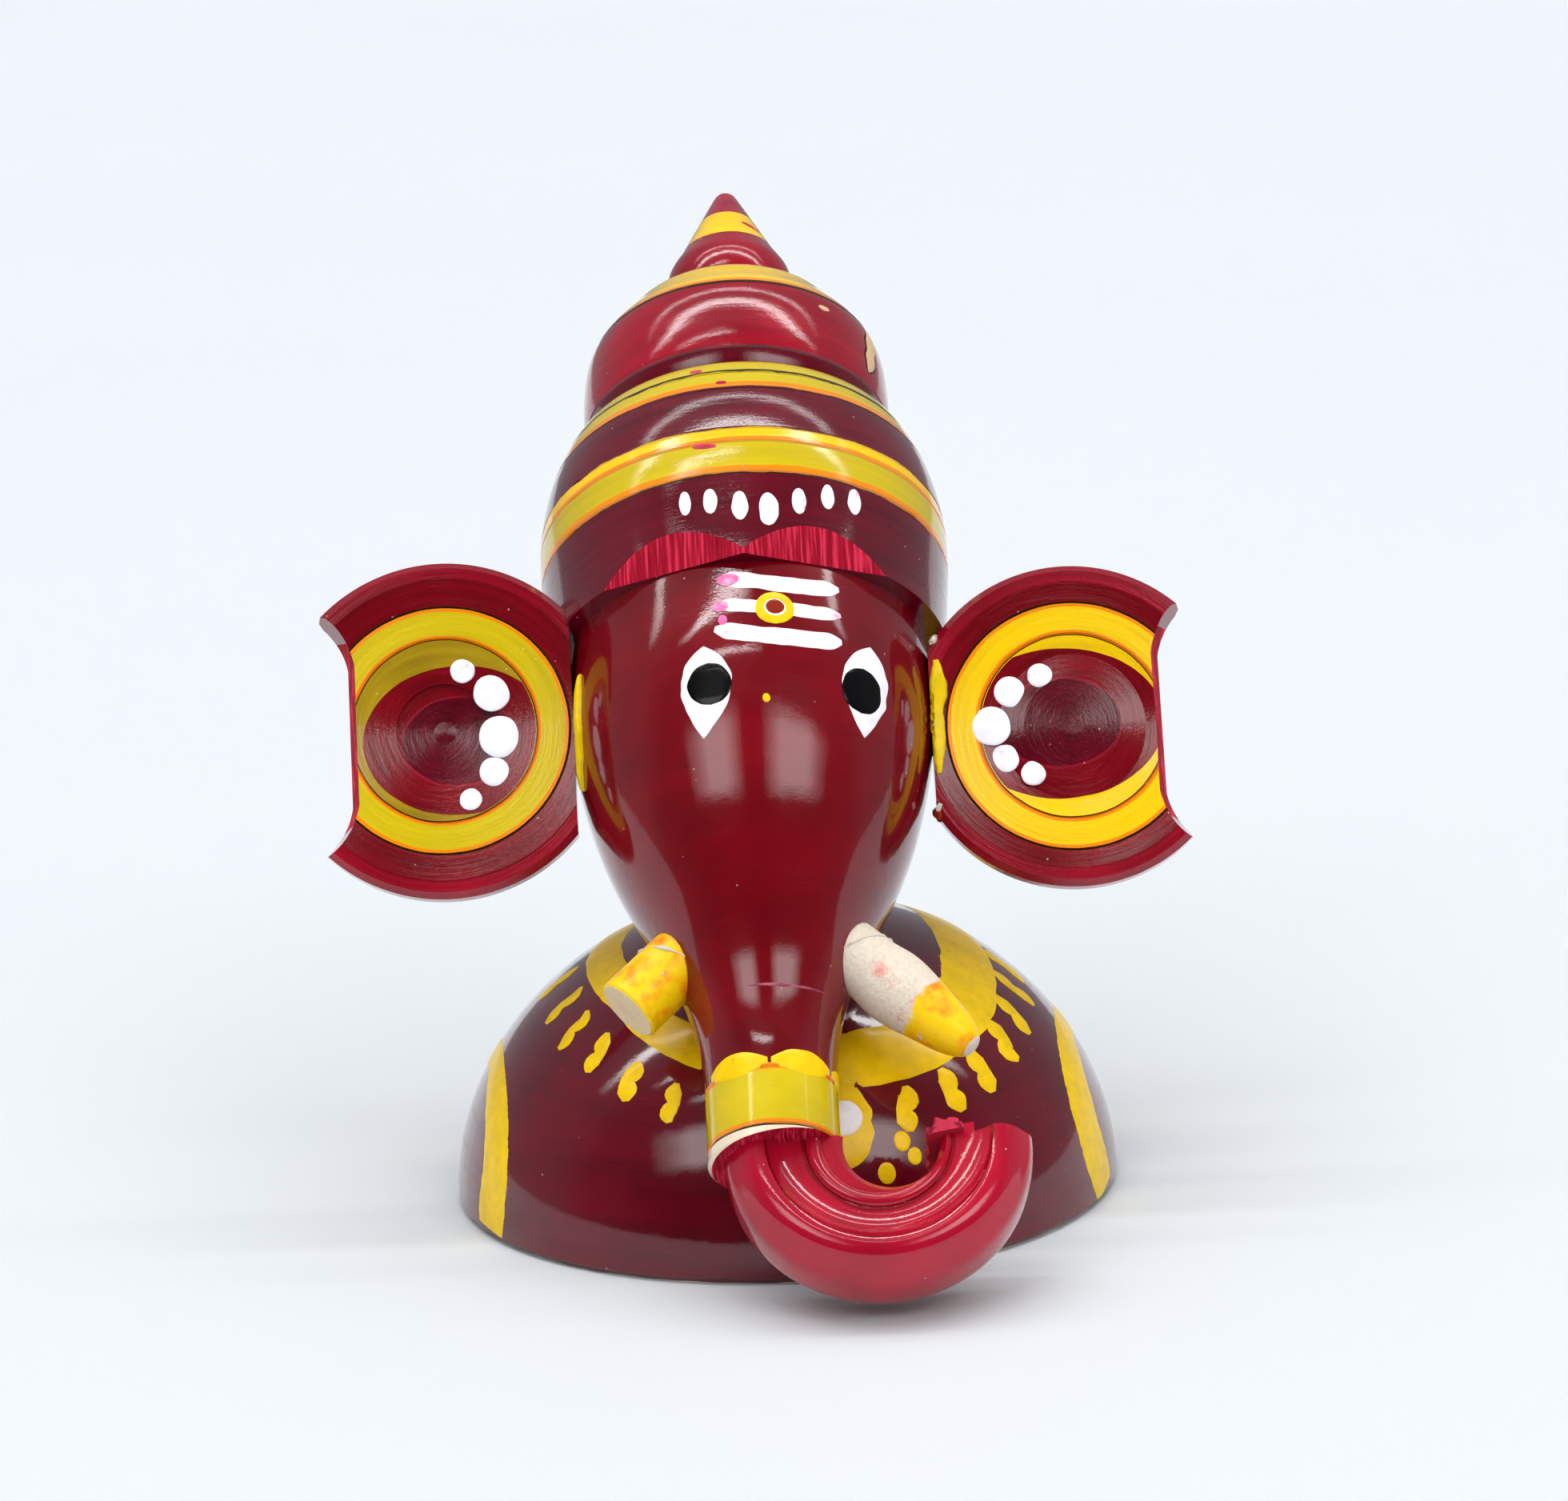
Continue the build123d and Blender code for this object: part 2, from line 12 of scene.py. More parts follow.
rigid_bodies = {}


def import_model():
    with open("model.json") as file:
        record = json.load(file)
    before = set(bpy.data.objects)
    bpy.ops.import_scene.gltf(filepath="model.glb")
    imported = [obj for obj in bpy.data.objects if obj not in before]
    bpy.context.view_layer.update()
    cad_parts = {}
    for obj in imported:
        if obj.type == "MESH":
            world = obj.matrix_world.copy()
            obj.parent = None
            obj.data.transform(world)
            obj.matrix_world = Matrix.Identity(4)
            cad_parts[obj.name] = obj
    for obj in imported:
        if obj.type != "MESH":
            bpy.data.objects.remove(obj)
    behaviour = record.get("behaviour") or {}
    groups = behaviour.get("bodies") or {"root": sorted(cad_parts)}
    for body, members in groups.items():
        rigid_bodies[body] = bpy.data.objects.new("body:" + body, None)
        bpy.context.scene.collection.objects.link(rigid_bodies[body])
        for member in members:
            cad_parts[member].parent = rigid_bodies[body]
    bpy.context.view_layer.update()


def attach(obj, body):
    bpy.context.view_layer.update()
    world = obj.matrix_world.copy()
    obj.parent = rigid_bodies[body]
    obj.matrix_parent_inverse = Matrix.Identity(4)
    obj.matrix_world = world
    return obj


LOG = logging.getLogger("ganesha")
MM = 0.001

# sRGB colours of the shellac, paints and woods
MAROON = "#7A0413"
DEEP_MAROON = "#5E0418"
BRIGHT_RED = "#92061F"
MAUVE_RED = "#9A2038"
RAW_RED = "#A81229"
YELLOW = "#F6C804"
OLIVE = "#D2B80E"
ORANGE = "#F28A04"
INK = "#3A2608"
WHITE = "#F6F4FB"
CREAM = "#EBD9BE"
PINK = "#E58AB4"


def turn(degrees: float, axis: str) -> Matrix:
    """Return a turn about one axis as a 4x4 matrix."""
    return Matrix.Rotation(math.radians(degrees), 4, axis)


def shift(x: float, y: float, z: float) -> Matrix:
    """Return a move in millimetres as a 4x4 matrix."""
    return Matrix.Translation((x, y, z))


HEAD_PLACE = shift(-0.9, -33.2026, 11.4359) @ turn(-45, "X") @ turn(-0.6, "Y")
EAR_CROSSING = 15.7353  # mm from the head's axis to each ear's chord
TRUNK_RADIUS = 5.7
JOINT_SLOPE = math.radians(7)   # the trunk's end is sawn shorter towards the curl's bore
FLAT_LEAN = math.radians(27)    # the crown's filed flats lean out over the forehead
FLAT_LEVEL = -8.406             # their planes' distance from the trunk's end, mm
FLAT_AZIMUTHS = (-21, 21)
EAR_CUT_LEAN = math.sin(math.radians(20))


class Place(Enum):
    """Local frames in mm: Z is each turned piece's own axis."""

    BODY = Matrix.Identity(4)
    HEAD = HEAD_PLACE
    EAR_LEFT = HEAD_PLACE @ shift(-EAR_CROSSING, -2.8007, 41.5249) @ turn(111, "X") @ shift(-11.4, 1.7, 0)
    EAR_RIGHT = HEAD_PLACE @ shift(EAR_CROSSING, -2.8007, 41.5249) @ turn(111, "X") @ shift(12.4, -0.8, 0)
    TUSK_SHORT = HEAD_PLACE @ shift(0, -1.5, 27) @ turn(-135, "Y")
    TUSK_LONG = HEAD_PLACE @ shift(0, -1.5, 27) @ turn(135, "Y")
    CURL = HEAD_PLACE @ shift(8.7, 0, 0.55) @ turn(90, "X")


class Across(Enum):
    """What a turned piece's painted bands are measured along."""

    HEIGHT = "height"
    RADIUS = "radius"


def linear(code: str) -> tuple[float, float, float, float]:
    """Turn an sRGB hex colour into linear RGBA.

    Args:
        code: colour such as "#74070F".

    Returns:
        Linear red, green, blue and an alpha of 1.
    """
    parts = [int(code[i : i + 2], 16) / 255 for i in (1, 3, 5)]
    return (*[p / 12.92 if p <= 0.04045 else ((p + 0.055) / 1.055) ** 2.4 for p in parts], 1.0)


class Nodes:
    """A shader tree that is filled one node at a time."""

    def __init__(self, tree: bpy.types.NodeTree) -> None:
        """Start with an empty tree.

        Args:
            tree: the tree of a material or of the world.
        """
        self.tree = tree
        tree.nodes.clear()

    def add(self, kind: str, links: dict | None = None, **settings: object) -> bpy.types.Node:
        """Add a node with its settings and links.

        Args:
            kind: the node's type name after ShaderNode.
            links: input name or number to a number, colour, socket, or node whose first output is used.
            **settings: attributes of the node.

        Returns:
            The new node.
        """
        made = self.tree.nodes.new("ShaderNode" + kind)
        for key, value in settings.items():
            setattr(made, key, value)
        for key, value in (links or {}).items():
            if isinstance(key, int):
                socket = made.inputs[key]
            else:
                socket = next(s for s in made.inputs if s.enabled and s.name == key)
            if isinstance(value, bpy.types.Node):
                value = next(s for s in value.outputs if s.enabled)
            if isinstance(value, bpy.types.NodeSocket):
                self.tree.links.new(value, socket)
            else:
                socket.default_value = value
        return made


class Finish(Nodes):
    """A node material whose patterns are laid out in millimetres."""

    def __init__(self, name: str) -> None:
        """Start an empty material.

        Args:
            name: name of the material.
        """
        self.material = bpy.data.materials.new(name)
        self.material.use_nodes = True
        super().__init__(self.material.node_tree)

    def local(self, place: Place) -> bpy.types.Node:
        """Give the point in a local frame, in millimetres.

        Args:
            place: the frame.

        Returns:
            The Mapping node.
        """
        origin, spin, _ = place.value.decompose()
        coords = self.add("TexCoord")
        return self.add(
            "Mapping",
            {
                "Vector": coords.outputs["Object"],
                "Location": origin * MM,
                "Rotation": spin.to_euler("XYZ"),
                "Scale": (MM, MM, MM),
            },
            vector_type="TEXTURE",
        )

    def finish(self, colour: object, rough: object, height: object, **fixed: float) -> bpy.types.Material:
        """Join colour, roughness and relief to the surface.

        Args:
            colour: colour socket or linear colour.
            rough: roughness socket or number.
            height: relief in millimetres.
            **fixed: the shader's other inputs, with _ for each space.

        Returns:
            The finished material.
        """
        bump = self.add("Bump", {"Height": height, "Strength": 1.0, "Distance": MM})
        links = {"Base Color": colour, "Roughness": rough, "Normal": bump, "Coat Normal": bump}
        links.update({key.replace("_", " "): value for key, value in fixed.items()})
        shader = self.add("BsdfPrincipled", links)
        self.add("OutputMaterial", {"Surface": shader})
        return self.material


def fill_ramp(node: bpy.types.Node, stops: list[tuple[float, tuple]], mode: str = "CONSTANT") -> None:
    """Put stops into a ramp.

    Args:
        node: the ramp's node.
        stops: position from 0 to 1 and linear colour of each stop, from low to high.
        mode: the ramp's interpolation.
    """
    ramp = node.color_ramp
    ramp.interpolation = mode
    ramp.elements[0].position, ramp.elements[1].position = 0.0, 1.0
    for position, colour in stops[1:-1]:
        ramp.elements.new(position).color = colour
    ramp.elements[0].color = stops[0][1]
    ramp.elements[-1].color = stops[-1][1]
    ramp.elements[-1].position = stops[-1][0]


@dataclass(frozen=True)
class TurnedLacquer:
    """Shellac sticks melted onto turned wood: clear deep red, and opaque yellow bands, polished on the lathe.

    The stick leaves fine rings round the axis, and the glassy coat has a ripple that breaks highlights up.
    """

    name: str
    place: Place
    across: Across
    bands: tuple[tuple[float, str], ...]  # where each band starts, mm, and its colour
    top: float                            # end of the last band, mm
    waver: float = 0.10                   # how far a band's edge wanders, mm
    ring_pitch: float = 0.55              # mm between turning rings
    depth: tuple[float, float] = (0.62, 1.30)  # darkest and lightest the red gets
    ripple: float = 0.012                 # mm
    ring_depth: float = 0.006             # height of the turning rings, mm
    # x and y shift, mm, and width of the inmost bands
    off_centre: tuple[float, float, float] = (0.0, 0.0, 0.0)
    inner_reach: float = 0.0              # radius up to which the shift holds, mm
    cut_planes: tuple[tuple[float, float, float, float], ...] = ()
    cut_inside: float = 0.0               # radius inside which steep faces are sawn, mm
    cut_lean: float = EAR_CUT_LEAN        # how far those faces lean to the front, as a sine
    back_plane: float = 0.0               # sawn back at this distance behind the axis, mm

    def build(self) -> bpy.types.Material:
        """Build the material.

        Returns:
            The finished material.
        """
        f = Finish(self.name)
        point = f.local(self.place)
        xyz = f.add("SeparateXYZ", {"Vector": point})
        flat = f.add("VectorMath", {0: point, 1: (1, 1, 0)}, operation="MULTIPLY")
        radius = f.add("VectorMath", {0: flat}, operation="LENGTH").outputs["Value"]
        heading = f.add("VectorMath", {0: flat}, operation="NORMALIZE")
        measure = xyz.outputs["Z"] if self.across is Across.HEIGHT else radius
        banding = measure
        if self.inner_reach:
            x, y, wide = self.off_centre
            away = f.add("VectorMath", {0: flat, 1: (x, y, 0)}, operation="SUBTRACT")
            squeezed = f.add("VectorMath", {0: away, 1: (1 / wide, 1, 1)}, operation="MULTIPLY")
            other = f.add("VectorMath", {0: squeezed}, operation="LENGTH").outputs["Value"]
            other = f.add("Math", {0: other, 1: self.inner_reach}, operation="MINIMUM")
            outside = f.add("Math", {0: radius, 1: self.inner_reach}, operation="GREATER_THAN")
            banding = f.add("Mix", {"Factor": outside, "A": other, "B": radius})
        # ring coordinates: slow round the axis, quick across the bands
        slow = f.add("VectorMath", {0: heading, 1: (1.4, 1.4, 1.4)}, operation="MULTIPLY")
        quick = f.add("Math", {0: measure, 1: 1 / self.ring_pitch}, operation="MULTIPLY")
        climb = f.add("CombineXYZ", {"Z": quick})
        ring_point = f.add("VectorMath", {0: slow, 1: climb}, operation="ADD")
        rings = f.add("TexNoise", {"Vector": ring_point, "Scale": 1.0, "Detail": 5.0, "Roughness": 0.65})
        streaks = f.add("TexNoise", {"Vector": ring_point, "Scale": 0.45, "Detail": 3.0, "Roughness": 0.6})
        wander = f.add("TexNoise", {"Vector": point, "Scale": 0.28, "Detail": 3.0})
        wander = f.add("MapRange", {0: wander, 3: -self.waver * 2, 4: self.waver * 2}, clamp=False)
        edge = f.add("Math", {0: banding, 1: wander}, operation="ADD")
        first = self.bands[0][0]
        part = f.add("MapRange", {0: edge, 1: first, 2: self.top})
        ramp = f.add("ValToRGB", {"Fac": part})
        span = self.top - first
        opaque = {YELLOW, OLIVE, ORANGE, CREAM}
        stops = [
            ((start - first) / span, (*linear(code)[:3], float(code in opaque))) for start, code in self.bands
        ]
        fill_ramp(ramp, stops)
        colour, opacity = ramp.outputs["Color"], ramp.outputs["Alpha"]
        # clear red varies more than opaque yellow
        cloud = f.add("TexNoise", {"Vector": point, "Scale": 0.13, "Detail": 3.0})
        tone = f.add("Mix", {"Factor": 0.45, "A": streaks, "B": cloud})
        red = f.add("MapRange", {0: tone, 1: 0.32, 2: 0.68, 3: self.depth[0], 4: self.depth[1]})
        yellow = f.add("MapRange", {0: streaks, 1: 0.3, 2: 0.75, 3: 1.06, 4: 0.82})
        factor = f.add("Mix", {"Factor": opacity, "A": red, "B": yellow})
        colour = f.add("VectorMath", {0: colour, "Scale": factor}, operation="SCALE")
        # red smeared over the yellow by the next stick
        smear = f.add("TexNoise", {"Vector": point, "Scale": 0.9, "Detail": 5.0, "Roughness": 0.7})
        smear = f.add("MapRange", {0: smear, 1: 0.73, 2: 0.77})
        colour = f.add("Mix", {"Factor": smear, "A": colour, "B": linear(RAW_RED)}, data_type="RGBA")
        # dust and pin-holes in the polish
        specks = f.add("TexVoronoi", {"Vector": point, "Scale": 0.45}).outputs["Distance"]
        grains = f.add("MapRange", {0: specks, 1: 0.05, 2: 0.02, 3: 0.0, 4: 0.45})
        colour = f.add("Mix", {"Factor": grains, "A": colour, "B": linear(CREAM)}, data_type="RGBA")
        rough = f.add("MapRange", {0: rings, 1: 0.3, 2: 0.8, 3: 0.16, 4: 0.34}).outputs[0]
        relief = f.add("Math", {0: rings, 1: self.ring_depth}, operation="MULTIPLY")
        skin = f.add("TexNoise", {"Vector": point, "Scale": 4.5, "Detail": 2.0})
        relief = f.add("Math", {0: skin, 1: self.ripple, 2: relief}, operation="MULTIPLY_ADD").outputs[0]
        colour, rough, relief, coat = self._cut_faces(f, point, radius, colour, rough, relief)
        return f.finish(
            colour, rough, relief, IOR=1.5, Specular_IOR_Level=0.08, Coat_Weight=coat, Coat_Roughness=0.045
        )

    def _cut_faces(
        self, f: Finish, point: object, radius: object, colour: object, rough: object, relief: object
    ) -> tuple[object, object, object, object]:
        """Lay dry red-stained wood over the faces that were filed or sawn after turning.

        Args:
            f: the material.
            point: place in the local frame, mm.
            radius: distance from the axis, mm.
            colour: colour so far.
            rough: roughness so far.
            relief: relief so far, mm.

        Returns:
            Colour, roughness and relief with the cut faces, and the weight of the glassy coat.
        """
        masks = []
        facing = f.add("NewGeometry").outputs["True Normal"]
        to_object = self.place.value.to_3x3()
        planes = self.cut_planes + (((0.0, 1.0, 0.0, self.back_plane),) if self.back_plane else ())
        for x, y, z, level in planes:
            reach = f.add("VectorMath", {0: point, 1: (x, y, z)}, operation="DOT_PRODUCT").outputs["Value"]
            near = f.add("Math", {0: reach, 1: level, 2: 0.04}, operation="COMPARE")
            out = tuple(to_object @ Vector((x, y, z)))
            lean = f.add("VectorMath", {0: facing, 1: out}, operation="DOT_PRODUCT").outputs["Value"]
            lean = f.add("Math", {0: lean}, operation="ABSOLUTE")
            square = f.add("Math", {0: lean, 1: 0.97}, operation="GREATER_THAN")
            masks.append(f.add("Math", {0: near, 1: square}, operation="MULTIPLY"))
        if self.cut_inside:
            out = tuple(to_object @ Vector((0, 0, 1)))
            lean = f.add("VectorMath", {0: facing, 1: out}, operation="DOT_PRODUCT").outputs["Value"]
            upright = f.add("Math", {0: lean, 1: self.cut_lean, 2: 0.04}, operation="COMPARE")
            inner = f.add("Math", {0: radius, 1: self.cut_inside}, operation="LESS_THAN")
            masks.append(f.add("Math", {0: upright, 1: inner}, operation="MULTIPLY"))
        if not masks:
            return colour, rough, relief, 1.0
        cut = masks[0]
        for mask in masks[1:]:
            cut = f.add("Math", {0: cut, 1: mask}, operation="MAXIMUM")
        # wood fibres run along the axis of the blank, about 0.3 mm apart
        fibres = f.add("VectorMath", {0: point, 1: (3.3, 0.3, 0.06)}, operation="MULTIPLY")
        grain = f.add("TexNoise", {"Vector": fibres, "Scale": 1.0, "Detail": 2.0, "Roughness": 0.6})
        wood = f.add("ValToRGB", {"Fac": grain})
        tones = [(0.38, linear("#4A0410")), (0.5, linear("#A4102A")), (0.62, linear("#D8304E"))]
        fill_ramp(wood, tones, "LINEAR")
        colour = f.add("Mix", {"Factor": cut, "A": colour, "B": wood}, data_type="RGBA")
        rough = f.add("Mix", {"Factor": cut, "A": rough, "B": 0.62})
        torn = f.add("Math", {0: grain, 1: 0.16}, operation="MULTIPLY")
        relief = f.add("Mix", {"Factor": cut, "A": relief, "B": torn})
        coat = f.add("Math", {0: 1.0, 1: cut}, operation="SUBTRACT")
        return colour, rough, relief, coat


@dataclass(frozen=True)
class BrushPaint:
    """Enamel put on by brush: a slightly raised film with bristle streaks and thin places."""

    name: str
    colour: str
    thin: str           # colour where the film is thin
    stain: str = ""     # colour of stains on it
    rough: float = 0.32
    wear: float = 0.70  # noise level above which the film is thin

    def build(self) -> bpy.types.Material:
        """Build the material.

        Returns:
            The finished material.
        """
        f = Finish(self.name)
        point = f.local(Place.BODY)
        bristles = f.add("VectorMath", {0: point, 1: (0.9, 0.9, 1.1)}, operation="MULTIPLY")
        lines = f.add("TexNoise", {"Vector": bristles, "Scale": 1.0, "Detail": 4.0, "Roughness": 0.6})
        cover = f.add("MapRange", {0: lines, 1: self.wear - 0.06, 2: self.wear + 0.05})
        blotches = f.add("TexNoise", {"Vector": point, "Scale": 0.8, "Detail": 3.0})
        tone = f.add("MapRange", {0: blotches, 1: 0.3, 2: 0.7, 3: 0.88, 4: 1.04})
        films = {"Factor": cover, "A": linear(self.colour), "B": linear(self.thin)}
        colour = f.add("Mix", films, data_type="RGBA")
        colour = f.add("VectorMath", {0: colour, "Scale": tone}, operation="SCALE")
        if self.stain:
            spots = f.add("TexNoise", {"Vector": point, "Scale": 0.42, "Detail": 4.0, "Roughness": 0.65})
            spots = f.add("MapRange", {0: spots, 1: 0.62, 2: 0.70, 3: 0.0, 4: 0.75})
            colour = f.add("Mix", {"Factor": spots, "A": colour, "B": linear(self.stain)}, data_type="RGBA")
        relief = f.add("Math", {0: lines, 1: 0.012}, operation="MULTIPLY")
        return f.finish(
            colour, self.rough, relief, IOR=1.45, Specular_IOR_Level=0.15, Coat_Weight=0.2, Coat_Roughness=0.1
        )


@dataclass(frozen=True)
class BareWood:
    """Dry, uncoated wood: fibres along the piece and open pores."""

    name: str
    place: Place
    pale: str
    dark: str
    stretch: tuple[float, float, float] = (2.6, 2.6, 0.25)

    def build(self) -> bpy.types.Material:
        """Build the material.

        Returns:
            The finished material.
        """
        f = Finish(self.name)
        point = f.local(self.place)
        fibres = f.add("VectorMath", {0: point, 1: self.stretch}, operation="MULTIPLY")
        grain = f.add("TexNoise", {"Vector": fibres, "Scale": 1.0, "Detail": 5.0, "Roughness": 0.7})
        ramp = f.add("ValToRGB", {"Fac": grain})
        tones = [(0.3, linear(self.dark)), (0.48, linear(self.pale)), (0.8, linear(self.pale))]
        fill_ramp(ramp, tones, "LINEAR")
        relief = f.add("Math", {0: grain, 1: 0.08}, operation="MULTIPLY")
        return f.finish(ramp, 0.7, relief, IOR=1.45)


@dataclass(frozen=True)
class DippedTusk:
    """Chalk-primed wood peg dipped in yellow enamel: matt cream primer, glossy yellow, a bare sawn end."""

    name: str
    place: Place
    dip: tuple[float, float]  # where along the peg the yellow starts and ends, mm
    primer: str = CREAM
    stains: tuple[tuple[float, float, float, float], ...] = ()  # x, y, z, radius in mm

    def build(self) -> bpy.types.Material:
        """Build the material.

        Returns:
            The finished material.
        """
        f = Finish(self.name)
        point = f.local(self.place)
        along = f.add("SeparateXYZ", {"Vector": point}).outputs["Z"]
        ragged = f.add("TexNoise", {"Vector": point, "Scale": 0.35, "Detail": 5.0, "Roughness": 0.6})
        ragged = f.add("MapRange", {0: ragged, 3: -2.2, 4: 2.2}, clamp=False)
        edge = f.add("Math", {0: along, 1: ragged}, operation="ADD")
        start = f.add("MapRange", {0: edge, 1: self.dip[0], 2: self.dip[0] + 0.35})
        end = f.add("MapRange", {0: along, 1: self.dip[1], 2: self.dip[1] + 0.05, 3: 1.0, 4: 0.0})
        dipped = f.add("Math", {0: start, 1: end}, operation="MULTIPLY")
        chips = f.add("TexNoise", {"Vector": point, "Scale": 0.9, "Detail": 3.0})
        chips = f.add("MapRange", {0: chips, 1: 0.70, 2: 0.72, 3: 1.0, 4: 0.0})
        dipped = f.add("Math", {0: dipped, 1: chips}, operation="MULTIPLY")
        chalk = f.add("TexNoise", {"Vector": point, "Scale": 2.6, "Detail": 5.0, "Roughness": 0.75})
        primer = f.add("ValToRGB", {"Fac": chalk})
        tones = [(0.3, linear("#C9B79F")), (0.55, linear(self.primer)), (0.8, linear("#F4EBDD"))]
        fill_ramp(primer, tones, "LINEAR")
        colour = primer
        for x, y, z, size in self.stains:
            gap = f.add("VectorMath", {0: point, 1: (x, y, z)}, operation="DISTANCE").outputs["Value"]
            blur = f.add("Math", {0: chalk, 1: 2.2, 2: gap}, operation="MULTIPLY_ADD")
            mark = f.add("MapRange", {0: blur, 1: size + 1.3, 2: size + 0.5, 3: 0.0, 4: 0.75})
            colour = f.add("Mix", {"Factor": mark, "A": colour, "B": linear("#E8776B")}, data_type="RGBA")
        drift = f.add("TexNoise", {"Vector": point, "Scale": 0.5, "Detail": 4.0})
        drift = f.add("MapRange", {0: drift, 1: 0.48, 2: 0.68})
        dip = f.add(
            "Mix", {"Factor": drift, "A": linear("#FACC08"), "B": linear("#F58A04")}, data_type="RGBA"
        )
        colour = f.add("Mix", {"Factor": dipped, "A": colour, "B": dip}, data_type="RGBA")
        rough = f.add("Mix", {"Factor": dipped, "A": 0.75, "B": 0.3})
        grit = f.add("Mix", {"Factor": dipped, "A": 0.16, "B": 0.03})
        relief = f.add("Math", {0: chalk, 1: grit}, operation="MULTIPLY")
        return f.finish(colour, rough, relief, IOR=1.5, Specular_IOR_Level=0.25)


WHITE_ENAMEL = BrushPaint("white_enamel_brushed", WHITE, "#C9BFD6", wear=0.72)
STAINED_WHITE = BrushPaint("white_enamel_stained", WHITE, "#C9BFD6", stain=PINK)
YELLOW_ENAMEL = BrushPaint("yellow_enamel_brushed", "#F4C804", "#C9A406", wear=0.72)
BLACK_ENAMEL = BrushPaint("black_enamel_brushed", "#050506", "#0C0C0E", rough=0.25, wear=0.8)
RED_INK = BrushPaint("red_ink_dab", "#8E2410", "#6A140C", rough=0.3)
PINK_STAIN = BrushPaint("pink_ink_stain", "#E86AA8", "#D9A6C8", rough=0.4, wear=0.55)
SCRATCH = BrushPaint("shellac_scratch_healed", "#8E3A50", "#A85A6C", rough=0.35, wear=0.55)
PINK_SMEAR = BrushPaint("red_shellac_smear", "#D0365C", "#B01C3C", rough=0.3, wear=0.5)
WHITE_GLUE = BrushPaint("white_wood_glue_dried", "#DDD3C4", "#B9A48C", rough=0.4)
YELLOW_GLUE = BrushPaint("yellow_enamel_bead", "#E8C406", "#C98A06", rough=0.28)
DARK_RIM = BrushPaint("charred_shellac_edge", "#2A140C", "#4A1C10", rough=0.5)
CHIPPED_WOOD = BareWood("rubberwood_chipped", Place.HEAD, "#D9B68C", "#8A5E36")
TORN_WOOD = BareWood("rubberwood_stained_torn", Place.HEAD, "#B8183A", "#650916")


def deselect() -> None:
    """Leave nothing selected."""
    bpy.ops.object.select_all(action="DESELECT")


def dress(node: str, finish: bpy.types.Material) -> None:
    """Put a finish on a node of the frame."""
    bpy.data.objects[node].material_slots[0].material = finish


def lathe_point(place: Place, azimuth: float, height: float, radius: float) -> Vector:
    """Give a point on a turned piece.

    Args:
        place: the piece's frame.
        azimuth: degrees from the front, towards +X.
        height: along the axis, mm.
        radius: from the axis, mm.

    Returns:
        The point in mm, in the object's frame.
    """
    angle = math.radians(azimuth)
    return place.value @ Vector((radius * math.sin(angle), -radius * math.cos(angle), height))


def dome_point(azimuth: float, height: float) -> Vector:
    """Give a point on the half-ellipsoid body, azimuth in degrees and height in mm."""
    radius = 30.0 * math.sqrt(max(0.0, 1 - (height / 26.2) ** 2))
    return lathe_point(Place.BODY, azimuth, height, radius)


def smooth_path(points: list[Vector], share: float) -> Vector:
    """Give a point on the smooth curve through others.

    Args:
        points: at least two points.
        share: 0 at the first to 1 at the last.

    Returns:
        The point, by Catmull-Rom.
    """
    reach = min(max(share, 0.0), 1.0) * (len(points) - 1)
    i = min(int(reach), len(points) - 2)
    t = reach - i
    a, b = points[max(i - 1, 0)], points[i]
    c, d = points[i + 1], points[min(i + 2, len(points) - 1)]
    return 0.5 * (2 * b + (c - a) * t + (2 * a - 5 * b + 4 * c - d) * t**2 + (3 * b - a - 3 * c + d) * t**3)


